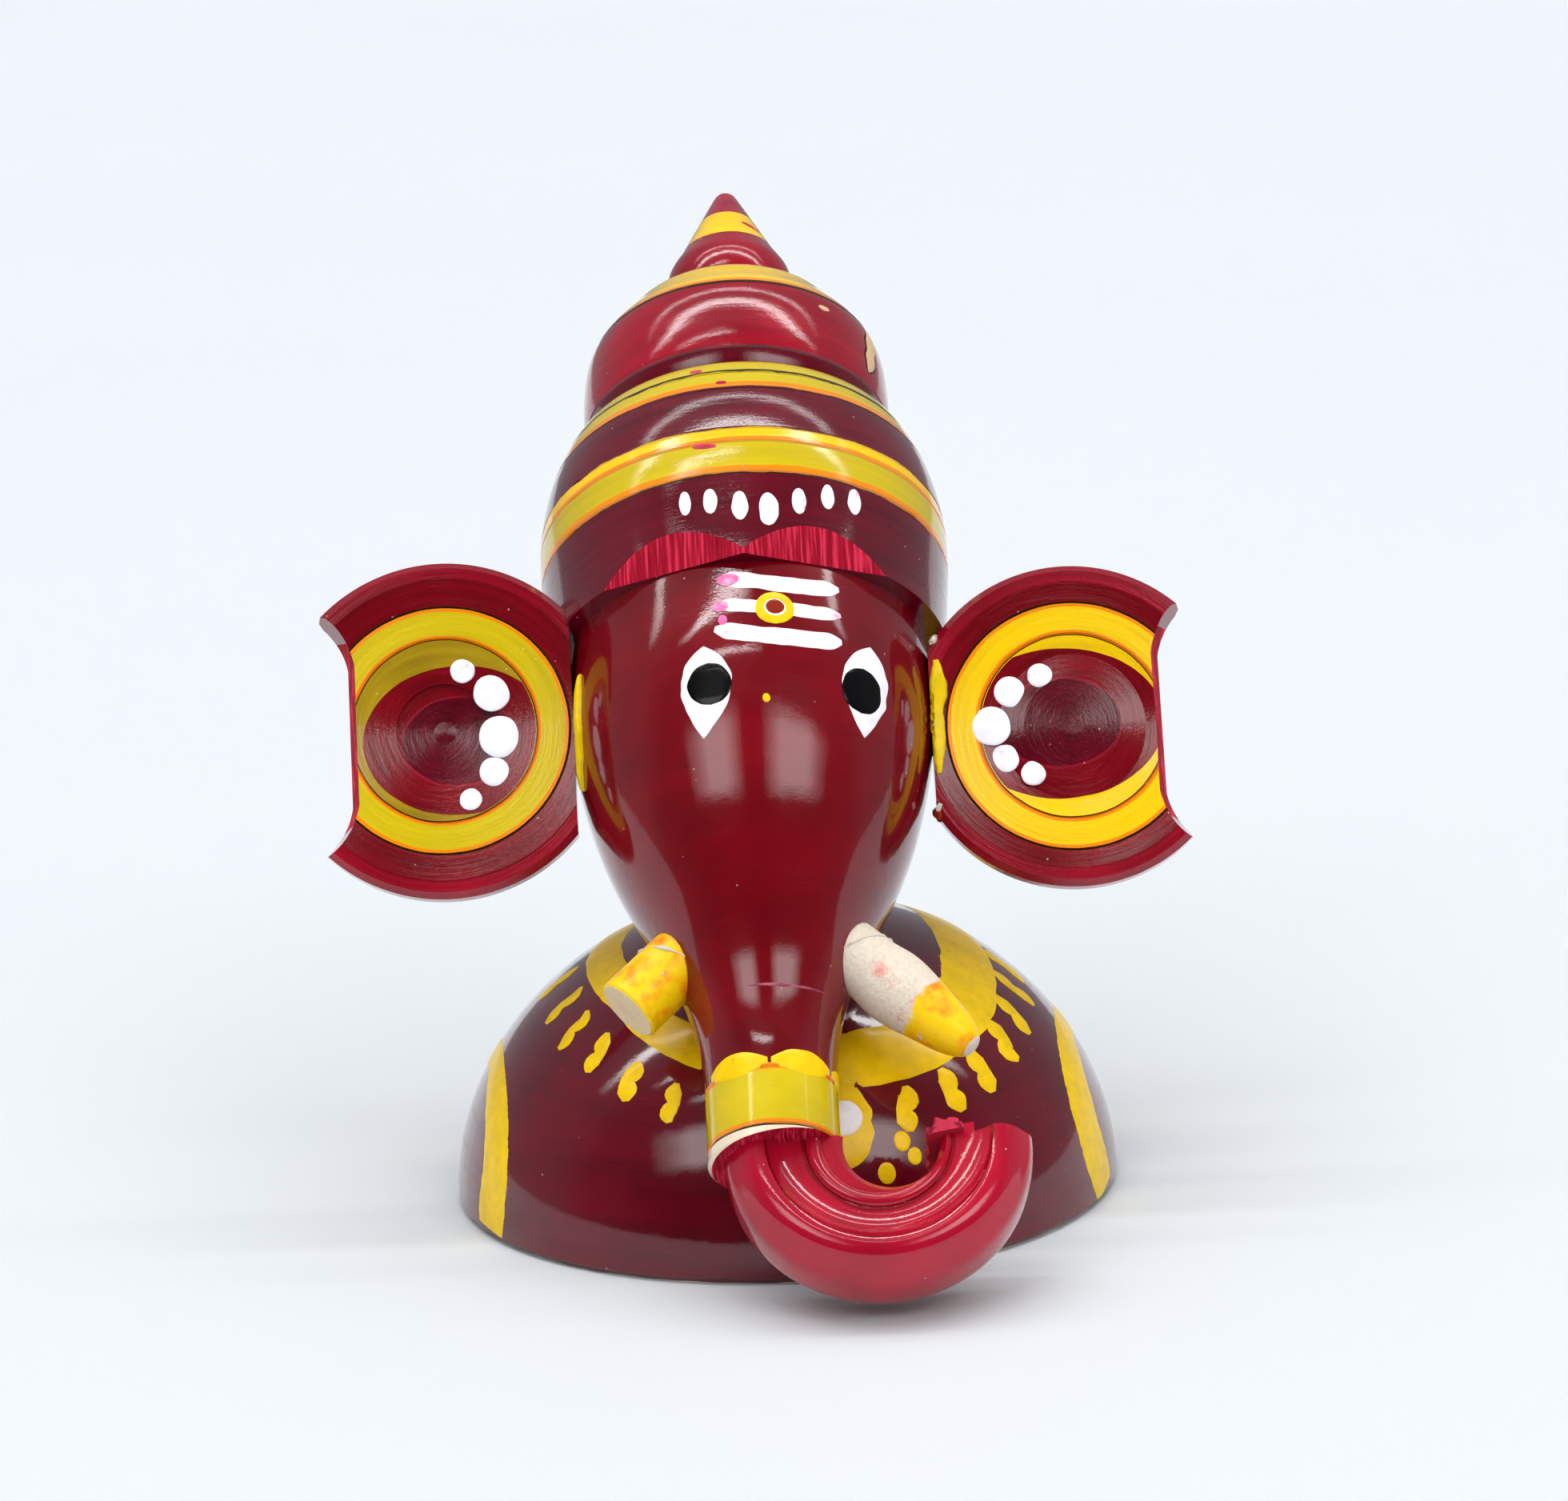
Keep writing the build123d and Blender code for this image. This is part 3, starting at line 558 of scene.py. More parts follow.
@dataclass
class Brush:
    """Lays raised strokes of paint on a node's surface."""

    node: str
    seed: int = 1
    wobble: float = 0.05  # how unsteady the hand is, as a share of the width
    count: int = field(default=0, init=False)

    def stroke(
        self,
        name: str,
        path: list[Vector],
        widths: list[float],
        paint: bpy.types.Material,
        height: float = 0.06,
        lift: float = 0.0,
        cells: tuple[int, int] = (28, 8),
    ) -> bpy.types.Object:
        """Lay one stroke.

        Args:
            name: name of the piece.
            path: points of its centre line, mm.
            widths: half widths along it, mm.
            paint: its material.
            height: thickness of the film in its middle, mm.
            lift: how far its underside lies over the surface, mm.
            cells: faces along and across.

        Returns:
            The stroke as one closed mesh.
        """
        ground = bpy.data.objects[self.node]
        hand = random.Random(f"{name}{self.seed}")
        offset = Vector([hand.uniform(0, 50) for _ in range(3)])
        deselect()
        bpy.ops.mesh.primitive_grid_add(x_subdivisions=cells[0], y_subdivisions=cells[1], size=2)
        piece = bpy.context.object
        piece.name = piece.data.name = name
        breadth = [Vector((w, 0, 0)) for w in widths]
        spread = []
        for vertex in piece.data.vertices:
            along, across = (1 - math.cos(math.pi * (vertex.co.x + 1) / 2)) / 2, vertex.co.y
            centre = smooth_path(path, along)
            ahead = smooth_path(path, along + 0.01) - smooth_path(path, along - 0.01)
            normal = ground.closest_point_on_mesh(centre * MM)[2]
            side = normal.cross(ahead).normalized()
            half = max(smooth_path(breadth, along).x, 0.02)
            shake = noise.noise(centre * 0.9 + offset + side * across) * self.wobble * 2.2
            vertex.co = (centre + side * (across * half * (1 + shake))) * MM
            tip = min(1.0, 6 * along, 6 * (1 - along))
            spread.append(math.sqrt(max(0.0, 1 - across**4)) * tip**0.5)
        cling = piece.modifiers.new("cling", "SHRINKWRAP")
        cling.target, cling.wrap_method, cling.wrap_mode = ground, "NEAREST_SURFACEPOINT", "ABOVE_SURFACE"
        cling.offset = (lift - 0.02) * MM
        group = piece.vertex_groups.new(name="film")
        for vertex, weight in zip(piece.data.vertices, spread):
            group.add([vertex.index], weight, "REPLACE")
        film = piece.modifiers.new("film", "SOLIDIFY")
        film.thickness, film.offset = (height + 0.02) * MM, 1.0
        film.vertex_group, film.thickness_vertex_group = "film", 0.3
        for modifier in ("cling", "film"):
            bpy.ops.object.modifier_apply(modifier=modifier)
        self._face_out()
        piece.data.materials.append(paint)
        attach(piece, "root")
        self.count += 1
        return piece

    def _face_out(self) -> None:
        """Point the film's faces outwards, merge collapsed corners and smooth it."""
        bpy.ops.object.mode_set(mode="EDIT")
        bpy.ops.mesh.select_all(action="SELECT")
        bpy.ops.mesh.remove_doubles(threshold=0.000004)
        bpy.ops.mesh.normals_make_consistent(inside=False)
        bpy.ops.object.mode_set(mode="OBJECT")
        bpy.ops.object.shade_smooth_by_angle(angle=math.radians(50))

    def dot(
        self,
        name: str,
        centre: Vector,
        along: Vector,
        size: tuple[float, float],
        paint: bpy.types.Material,
        **more: float,
    ) -> bpy.types.Object:
        """Dab a round or oval dot.

        Args:
            name: name of the piece.
            centre: its middle, mm.
            along: direction of its length.
            size: half length and half width, mm.
            paint: its material.
            **more: height and lift, as for a stroke.

        Returns:
            The dot.
        """
        step = along.normalized() * size[0]
        path = [centre + step * (k / 12 - 1) for k in range(25)]
        widths = [size[1] * math.sqrt(max(0.0, 1 - (k / 12 - 1) ** 2)) for k in range(25)]
        return self.stroke(name, path, widths, paint, cells=(40, 24), **more)


@dataclass
class BodyDome:
    """Half-ellipsoid body with its brushed necklace, pendant, fringe and side bands."""

    node: str = "body_dome"
    necklace: tuple[tuple[float, float, float], ...] = (  # azimuth, height, half width
        (-172, 20.2, 1.6), (-150, 21.4, 1.7), (-128, 22.3, 1.8), (-107, 22.6, 1.85), (-84, 22.3, 1.85),
        (-62, 21.7, 1.85), (-46, 20.9, 1.8), (-33, 19.6, 1.75), (-19, 18.4, 1.9), (-2, 17.4, 2.3),
        (15, 17.3, 2.75), (31, 17.6, 2.8), (47, 18.8, 2.85), (61, 20.1, 2.85), (83, 21.8, 2.8),
        (106, 22.4, 2.5), (128, 22.2, 2.1), (150, 21.4, 1.8), (172, 20.2, 1.6), (188, 20.2, 1.6),
    )
    fringe_left: tuple[tuple[float, float], ...] = (
        (-87.8, 19.5), (-70, 19.1), (-57.5, 18.1), (-45.2, 17.2), (-33.5, 15.7), (-22.7, 14.5),
    )
    fringe_right: tuple[tuple[float, float], ...] = (
        (88, 19.4), (77.7, 18.3), (65.7, 17.2), (55.0, 16.1), (44.1, 14.6), (35.0, 13.9), (24.3, 13.2),
    )
    side_left: tuple[tuple[float, float, float], ...] = (
        (-62.3, 0.9, 2.4), (-61.9, 3.4, 2.6), (-62.6, 6.2, 2.4), (-65.5, 9.0, 2.2), (-71.5, 11.2, 1.9),
        (-79.5, 12.7, 1.5), (-88, 13.1, 1.2), (-96.5, 12.4, 1.5), (-104, 10.6, 1.9), (-110, 8.0, 2.2),
        (-113.5, 4.6, 2.4), (-114, 0.9, 2.3),
    )
    side_right: tuple[tuple[float, float, float], ...] = (
        (70.5, 0.9, 2.3), (69.2, 3.4, 2.7), (68.4, 6.0, 2.8), (70.0, 9.0, 2.7), (74.5, 11.5, 2.3),
        (82.0, 13.2, 1.8), (90, 13.7, 1.4), (98, 13.0, 1.7), (105, 11.0, 1.9), (110, 8.0, 2.0),
        (113, 4.6, 2.0), (114, 0.9, 1.9),
    )

    def build(self) -> None:
        """Dress the dome and lay its strokes."""
        bands = ((-1.0, CREAM), (0.03, "#74041C"), (3.2, "#74041C"))
        lacquer = TurnedLacquer(
            "red_shellac_on_dome", Place.BODY, Across.HEIGHT, bands, 26.3,
            depth=(0.42, 0.85), ripple=0.003, ring_depth=0.002, ring_pitch=1.4,
        )
        dress(self.node, lacquer.build())
        yellow, white = YELLOW_ENAMEL.build(), WHITE_ENAMEL.build()
        brush = Brush(self.node, seed=4, wobble=0.035)
        loop = [dome_point(a, z) for a, z, _ in self.necklace]
        brush.stroke("necklace", loop, [w for _, _, w in self.necklace], yellow, 0.08, cells=(150, 10))
        drop = [dome_point(4.5, z) for z in (17.6, 15.6, 13.6, 11.6, 9.8, 8.6)]
        brush.stroke("pendant", drop, [1.4, 4.4, 5.6, 5.6, 4.3, 0.9], yellow, 0.09, cells=(36, 18))
        down = dome_point(11.3, 12.2) - dome_point(11.3, 14.2)
        spots = (("right", 11.3, 1.6), ("left", -2.3, 1.5))
        for side, azimuth, size in spots:
            centre = dome_point(azimuth, 13.2)
            brush.dot(f"pendant_dot_{side}", centre, down, (size, size), white, height=0.10, lift=0.07)
        beads = ((21.5, 10.9, 0.75), (23.3, 9.6, 0.65), (17.6, 8.6, 0.8))
        for i, (azimuth, height, size) in enumerate(beads):
            centre = dome_point(azimuth, height)
            brush.dot(f"pendant_bead_{i}", centre, down, (size * 1.2, size), yellow, height=0.08)
        self._fringe(brush, "fringe_left", self.fringe_left, 1.45, 0.88, yellow)
        self._fringe(brush, "fringe_right", self.fringe_right, 1.7, 0.98, yellow)
        for name, rows in (("side_band_left", self.side_left), ("side_band_right", self.side_right)):
            path = [dome_point(a, z) for a, z, _ in rows]
            brush.stroke(name, path, [w for _, _, w in rows], yellow, 0.05, cells=(90, 10))
        LOG.info("body: %d strokes", brush.count)

    def _fringe(
        self, brush: Brush, name: str, spots: tuple, reach: float, width: float, paint: bpy.types.Material
    ) -> None:
        """Lay a row of short wavy strokes.

        Args:
            brush: the brush.
            name: first part of each stroke's name.
            spots: azimuth and height of each middle.
            reach: half length, mm of height.
            width: half width, mm.
            paint: their material.
        """
        for i, (azimuth, height) in enumerate(spots):
            hand = random.Random(f"{name}{i}")
            sway = [hand.uniform(-1.0, 1.0) for _ in range(5)]
            path = [dome_point(azimuth + sway[k], height + reach * (1 - k / 2)) for k in range(5)]
            swell = hand.uniform(0.85, 1.1) * width
            widths = [0.3 * swell, swell, 0.74 * swell, 1.05 * swell, 0.35 * swell]
            brush.stroke(f"{name}_{i}", path, widths, paint, 0.10, cells=(20, 8))


@dataclass
class HeadTrunk:
    """Turned head and trunk with painted eyes, forehead marks and trunk band."""

    node: str = "head_trunk"
    bands: tuple[tuple[float, str], ...] = (
        (-0.5, CREAM), (1.02, INK), (1.20, ORANGE), (1.62, OLIVE), (6.35, ORANGE), (7.0, INK), (7.12, MAROON),
    )
    stripes: tuple[tuple[tuple[float, float], ...], ...] = (
        ((-7.8, 49.2), (1.0, 48.8), (10.4, 48.45), (20.0, 48.4), (29.9, 48.75)),
        ((-9.0, 46.5), (1.0, 46.15), (10.4, 45.95), (20.0, 45.85), (30.0, 46.05)),
        ((-10.1, 44.1), (0.0, 43.4), (9.4, 43.1), (20.0, 43.05), (30.0, 43.35)),
    )

    def build(self) -> None:
        """Dress the head and paint its face."""
        rise, run = math.sin(JOINT_SLOPE), math.cos(JOINT_SLOPE)
        sawn_end = (-rise, 0.0, run, TRUNK_RADIUS * rise)
        lacquer = TurnedLacquer(
            "red_shellac_on_head", Place.HEAD, Across.HEIGHT, self.bands, 52.0,
            depth=(0.55, 1.08), ripple=0.003, ring_depth=0.0, ring_pitch=3.0, back_plane=4.1,
            cut_planes=(sawn_end,),
        )
        dress(self.node, lacquer.build())
        white, stained, black = WHITE_ENAMEL.build(), STAINED_WHITE.build(), BLACK_ENAMEL.build()
        yellow, ink = YELLOW_ENAMEL.build(), RED_INK.build()
        brush = Brush(self.node, seed=9, wobble=0.05)
        for i, (row, half) in enumerate(zip(self.stripes, (0.80, 0.66, 0.80))):
            path = [self.on(a, s) for a, s in row]
            widths = [half * k for k in (0.35, 0.95, 1.0, 0.9, 1.0, 1.04, 1.0, 1.0, 0.95, 0.3)]
            brush.stroke(f"forehead_stripe_{i}", path, widths, stained, 0.07, cells=(60, 8))
        pink, scratch = PINK_STAIN.build(), SCRATCH.build()
        side = self.on(2, 47) - self.on(-2, 47)
        stains = ((-5.2, 49.0, 1.0, 0.62), (-8.0, 46.3, 0.75, 0.55), (-7.4, 44.9, 0.4, 0.5))
        for i, (azimuth, height, *size) in enumerate(stains):
            centre = self.on(azimuth, height)
            brush.dot(f"stripe_stain_{i}", centre, side, tuple(size), pink, height=0.05, lift=0.05)
        line = [self.on(a, 14.0 + 0.004 * abs(a - 18)) for a in (-14, 2, 18, 34, 48)]
        brush.stroke("trunk_scratch", line, [0.05, 0.13, 0.14, 0.11, 0.04], scratch, 0.03, cells=(40, 4))
        up = self.on(8.6, 47) - self.on(8.6, 45)
        brush.dot("forehead_ring", self.on(8.6, 45.9), up, (1.62, 1.7), yellow, height=0.12, lift=0.05)
        brush.dot("forehead_ring_gap", self.on(8.6, 45.9), up, (0.9, 0.95), white, height=0.06, lift=0.14)
        brush.dot("forehead_spot", self.on(8.6, 45.95), up, (0.74, 0.78), ink, height=0.06, lift=0.19)
        brush.dot("brow_spot", self.on(4.9, 37.3), up, (0.42, 0.34), yellow, height=0.07)
        left = [(-13.9, 42.6), (-14.3, 38.9), (-16.8, 34.3)]
        self._eye(brush, "left", left, 2.35, (-12.9, 39.0), 1.95, white, black)
        right = [(40.6, 43.8), (39.6, 39.8), (40.2, 35.2)]
        self._eye(brush, "right", right, 2.55, (37.9, 39.3), 2.12, white, black)
        for i, middle in enumerate((-32, 31)):
            self._lobe(brush, f"trunk_petal_{i}", middle, 60, yellow)
        self._lobe(brush, "trunk_petal_2", 92, 56, yellow)
        LOG.info("head: %d strokes", brush.count)

    def on(self, azimuth: float, height: float) -> Vector:
        """Give a point close to the head's surface."""
        table = (
            (0, TRUNK_RADIUS), (12, 6.2), (16, 7.1), (22, 9.4), (29.9, 13.25), (35, 14.8), (41, 15.95),
            (50.8, 16.3),
        )
        for (low, a), (high, b) in zip(table, table[1:]):
            if height <= high:
                radius = a + (b - a) * (height - low) / (high - low)
                break
        else:
            radius = table[-1][1]
        return lathe_point(Place.HEAD, azimuth, height, radius)

    def _eye(
        self,
        brush: Brush,
        side: str,
        line: list,
        half: float,
        middle: tuple,
        size: float,
        white: bpy.types.Material,
        black: bpy.types.Material,
    ) -> None:
        """Paint one almond eye and its pupil.

        Args:
            brush: the brush.
            side: left or right.
            line: top, middle and foot as azimuth and height.
            half: half width of the almond, mm.
            middle: the pupil's place.
            size: the pupil's radius, mm.
            white: paint of the almond.
            black: paint of the pupil.
        """
        ends = [self.on(a, s) for a, s in line]
        path = [smooth_path(ends, k / 8) for k in range(9)]
        swell = (0.02, 0.42, 0.75, 0.95, 1.0, 0.88, 0.62, 0.30, 0.02)
        brush.stroke(f"eye_{side}", path, [half * k for k in swell], white, 0.07, cells=(60, 26))
        up = self.on(middle[0], middle[1] + 1) - self.on(middle[0], middle[1] - 1)
        brush.dot(f"pupil_{side}", self.on(*middle), up, (size, size), black, height=0.09, lift=0.05)

    def _lobe(self, brush: Brush, name: str, middle: float, spread: float, paint: object) -> None:
        """Paint one low petal standing on the trunk's band."""
        path = [self.on(middle + spread * (k / 6 - 0.5), 7.3) for k in range(7)]
        brush.stroke(name, path, [0.25, 0.75, 1.05, 1.15, 1.05, 0.75, 0.25], paint, 0.08, cells=(26, 8))


@dataclass
class Crown:
    """Two-tier turned crown with filed rim flats, painted petals and a chip."""

    node: str = "crown"
    bands: tuple[tuple[float, str], ...] = (
        (50.0, DEEP_MAROON), (58.75, INK), (58.9, ORANGE), (59.55, OLIVE), (62.15, ORANGE), (62.65, YELLOW),
        (63.6, INK), (63.72, DEEP_MAROON), (68.85, INK), (68.97, ORANGE), (69.5, OLIVE), (71.35, INK),
        # the thin cream band from 75.85 to 76.02 mm is a painted highlight along the groove at the foot of the
        # small tier
        (71.5, OLIVE), (73.6, INK), (73.85, DEEP_MAROON), (75.85, CREAM), (76.02, BRIGHT_RED),
        (83.75, INK), (83.95, ORANGE),
        (84.45, YELLOW), (89.2, BRIGHT_RED), (96.4, YELLOW), (100.1, MAUVE_RED), (104.6, MAUVE_RED),
    )
    petals: tuple[tuple[float, float, float, float], ...] = (
        (-15.6, 56.4, 1.2, 0.55), (-8.4, 56.2, 1.25, 0.62), (-0.3, 55.5, 1.45, 0.72), (7.5, 55.1, 1.65, 0.9),
        (16.3, 56.1, 1.3, 0.68), (24.7, 57.0, 1.25, 0.62), (33.1, 57.2, 1.3, 0.66),
    )

    def build(self) -> None:
        """Dress the crown and paint its petals."""
        flats = []
        for azimuth in FLAT_AZIMUTHS:
            side, ahead = math.sin(math.radians(azimuth)), math.cos(math.radians(azimuth))
            level_part = math.cos(FLAT_LEAN)
            flats.append((level_part * side, -level_part * ahead, -math.sin(FLAT_LEAN), FLAT_LEVEL))
        lacquer = TurnedLacquer(
            "red_and_yellow_shellac_on_crown", Place.HEAD, Across.HEIGHT, self.bands, 106.0,
            depth=(0.6, 1.3), ripple=0.0055, ring_depth=0.008, cut_planes=tuple(flats), back_plane=4.1,
        )
        dress(self.node, lacquer.build())
        stained = STAINED_WHITE.build()
        brush = Brush(self.node, seed=3, wobble=0.08)
        for i, (azimuth, height, length, half) in enumerate(self.petals):
            centre = lathe_point(Place.HEAD, azimuth, height, 18.2)
            up = lathe_point(Place.HEAD, azimuth, height + 1, 18.3) - centre
            brush.dot(f"crown_petal_{i}", centre, up, (length, half), stained, height=0.10)
        self._chip(brush)
        smear = PINK_SMEAR.build()
        spots = (
            (-9.2, 61.9, 18.5, 1.1), (-12.2, 72.0, 16.0, 0.6), (38.0, 98.2, 3.7, 1.1), (-4.0, 69.6, 17.0, 0.5),
        )
        for i, (azimuth, height, radius, length) in enumerate(spots):
            centre = lathe_point(Place.HEAD, azimuth, height, radius)
            aside = lathe_point(Place.HEAD, azimuth + 3, height - 0.1, radius) - centre
            brush.dot(f"shellac_smear_{i}", centre, aside, (length, 0.3), smear, height=0.04)
        LOG.info("crown: %d strokes", brush.count)

    def _chip(self, brush: Brush) -> None:
        """Lay the bare splinter with its burnt edge, and one small bare spot."""
        rim, wood = DARK_RIM.build(), CHIPPED_WOOD.build()
        rows = ((64.8, 83.0), (65.2, 81.6), (63.6, 80.2), (62.6, 78.9), (60.4, 77.5))
        path = [lathe_point(Place.HEAD, a, s, 14.0) for a, s in rows]
        brush.stroke("chip_edge", path, [0.3, 1.15, 1.0, 1.1, 0.3], rim, 0.05, cells=(26, 8))
        brush.stroke("chip_wood", path, [0.15, 0.85, 0.68, 0.8, 0.15], wood, 0.06, lift=0.05, cells=(26, 8))
        spot = lathe_point(Place.HEAD, 37.9, 82.0, 13.8)
        aside = lathe_point(Place.HEAD, 41, 82.0, 13.8) - spot
        brush.dot("chip_spot", spot, aside, (0.6, 0.32), wood, height=0.05)


@dataclass
class Ear:
    """One turned disc ear: ringed shellac, yellow ring and white dots."""

    side: str
    place: Place
    radius: float
    dots: tuple[tuple[float, float, float], ...]  # x, y, radius in the disc's frame, mm
    inmost: tuple[float, float, float]    # shift and width of the maroon centre
    ground: tuple[str, str]               # yellow of the outer and of the inner ring

    def build(self) -> None:
        """Dress the ear and dot it."""
        bands = (
            (0.0, DEEP_MAROON), (3.9, "#8C1026"), (4.1, MAROON), (6.7, self.ground[1]),
            (8.08, INK), (8.2, ORANGE), (8.55, self.ground[0]), (10.66, ORANGE), (11.0, INK), (11.16, MAROON),
            (self.radius - 1.5, BRIGHT_RED), (self.radius + 0.2, BRIGHT_RED),
        )
        lacquer = TurnedLacquer(
            f"red_and_yellow_shellac_on_ear_{self.side}", self.place, Across.RADIUS, bands, self.radius + 1.0,
            waver=0.05, ring_pitch=0.42, depth=(0.55, 1.2), ripple=0.008, ring_depth=0.05,
            cut_inside=self.radius - 0.75, off_centre=self.inmost, inner_reach=8.06,
        )
        dress(f"ear_{self.side}", lacquer.build())
        white = WHITE_ENAMEL.build()
        for i, (x, y, size) in enumerate(self.dots):
            self._drop(f"ear_{self.side}_dot_{i}", x, y, size, white)
        LOG.info("ear %s: %d dots", self.side, len(self.dots))

    def _drop(self, name: str, x: float, y: float, size: float, paint: bpy.types.Material) -> None:
        """Set down one flat round drop of enamel.

        Args:
            name: name of the piece.
            x: across the disc, mm.
            y: up the disc, mm.
            size: radius, mm.
            paint: its material.
        """
        ear = bpy.data.objects[f"ear_{self.side}"]
        out = self.place.value.to_3x3() @ Vector((0, 0, 1))
        levels = []
        for k in range(8):
            dx, dy = (0.6 * size * part for part in (math.cos(k * math.pi / 4), math.sin(k * math.pi / 4)))
            start = self.place.value @ Vector((x + dx, y + dy, 6.0))
            hit, point, _, _ = ear.ray_cast(start * MM, -out)
            if hit:
                levels.append(6.0 - (point / MM - start).length)
        deselect()
        bpy.ops.mesh.primitive_uv_sphere_add(segments=40, ring_count=20, radius=1)
        drop = bpy.context.object
        drop.name = drop.data.name = name
        hand = Vector((x, y, 7.0))
        for vertex in drop.data.vertices:
            co = vertex.co
            swell = size * (1 + 0.05 * noise.noise(co * 1.2 + hand))
            tall = 0.24 * math.copysign(abs(co.z) ** 0.6, co.z)
            moved = Vector((x + co.x * swell, y + co.y * swell, max(levels) - 0.08 + tall))
            vertex.co = (self.place.value @ moved) * MM
        drop.data.update()
        bpy.ops.object.shade_smooth()
        drop.data.materials.append(paint)
        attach(drop, "root")


@dataclass
class Tusks:
    """Sawn short tusk and carved long tusk, with the glue squeezed out round them."""

    ring_height: float = 11.2
    ring_radius: float = 3.0

    def build(self) -> None:
        """Dress both tusks and lay the glue."""
        short = DippedTusk("yellow_enamel_on_peg_short", Place.TUSK_SHORT, (9.4, 16.86))
        long = DippedTusk(
            "yellow_enamel_on_peg_long", Place.TUSK_LONG, (18.7, 24.25), "#E9DDCB",
            stains=(
                (0.85, -3.0, 14.6, 0.75), (0.9, -2.6, 16.2, 0.5),
                (0.9, -2.5, 19.0, 0.6), (2.2, -1.2, 18.4, 0.5),
            ),
        )
        dress("tusk_short", short.build())
        dress("tusk_long", long.build())
        glue = WHITE_GLUE.build()
        for side, place, tilt in (("short", Place.TUSK_SHORT, -21), ("long", Place.TUSK_LONG, 21)):
            self._collar(side, place, tilt, glue)

    def _collar(self, side: str, place: Place, tilt: float, glue: bpy.types.Material) -> None:
        """Lay a thin ragged ring of dried glue round a tusk's root.

        Args:
            side: short or long.
            place: the tusk's frame.
            tilt: lean of the head's surface against the tusk, degrees.
            glue: its material.
        """
        deselect()
        bpy.ops.mesh.primitive_torus_add(
            major_radius=self.ring_radius, minor_radius=0.17, major_segments=64, minor_segments=12
        )
        ring = bpy.context.object
        ring.name = ring.data.name = f"glue_collar_{side}"
        bpy.ops.object.mode_set(mode="EDIT")
        bpy.ops.mesh.select_all(action="SELECT")
        bpy.ops.transform.resize(value=(1.07, 1.0, 1.0))
        bpy.ops.object.mode_set(mode="OBJECT")
        seat = place.value @ shift(0, 0, self.ring_height) @ turn(tilt, "Y")
        for vertex in ring.data.vertices:
            middle = Vector((vertex.co.x, vertex.co.y, 0)).normalized() * self.ring_radius
            swell = 0.75 + 1.1 * noise.noise(middle * 0.8 + Vector((tilt, 0, 3)))
            vertex.co = (seat @ (middle + (vertex.co - middle) * swell)) * MM
        ring.data.update()
        bpy.ops.object.shade_smooth()
        ring.data.materials.append(glue)
        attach(ring, "root")
        LOG.info("tusk %s: glue collar", side)


@dataclass
class TrunkCurl:
    """Half ring glued under the trunk, with the torn stub of its other half."""

    node: str = "trunk_curl"
    bands: tuple[tuple[float, str], ...] = (
        (0.0, RAW_RED), (4.6, "#A20926"), (6.1, "#7E0516"), (6.5, "#A20926"), (9.3, "#7E0516"),
        (9.6, "#A40A28"),
        (13.2, "#A40A28"),
    )

    def build(self) -> None:
        """Dress the curl and add its torn fibres."""
        lacquer = TurnedLacquer(
            "red_shellac_on_curl", Place.CURL, Across.RADIUS, self.bands, 14.0,
            waver=0.12, ring_pitch=1.6, depth=(0.7, 1.35), ripple=0.004, ring_depth=0.004,
        )
        dress(self.node, lacquer.build())
        self._torn_stub(TORN_WOOD.build())

    def _torn_stub(self, wood: bpy.types.Material) -> None:
        """Model the splintered end beside the bore.

        Args:
            wood: material of the torn fibres.
        """
        deselect()
        bpy.ops.mesh.primitive_cube_add(size=2)
        stub = bpy.context.object
        stub.name = stub.data.name = "curl_torn_stub"
        bpy.ops.object.mode_set(mode="EDIT")
        bpy.ops.mesh.select_all(action="SELECT")
        bpy.ops.transform.resize(value=(1.5, 3.7, 0.55))
        bpy.ops.mesh.subdivide(number_cuts=22)
        bpy.ops.object.mode_set(mode="OBJECT")
        place = Place.HEAD.value @ shift(14.3, 0.0, 1.35) @ turn(-10, "Y")
        for vertex in stub.data.vertices:
            co = vertex.co.copy()
            fibre = noise.noise(Vector((co.x * 1.1, co.y * 0.9, 4.0)))
            if co.z > 0:
                splinter = noise.noise(Vector((co.x * 1.9, co.y * 1.6, 8.0)))
                co.z += 0.9 * fibre + 0.22 * splinter - 0.4 * (abs(co.x) / 1.5) ** 3
            co.x += 0.35 * noise.noise(Vector((co.y * 0.8, co.z * 1.3, 9.0)))
            vertex.co = (place @ co) * MM
        stub.data.update()
        bpy.ops.object.shade_smooth_by_angle(angle=math.radians(35))
        stub.data.materials.append(wood)
        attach(stub, "root")
        LOG.info("curl: torn stub")


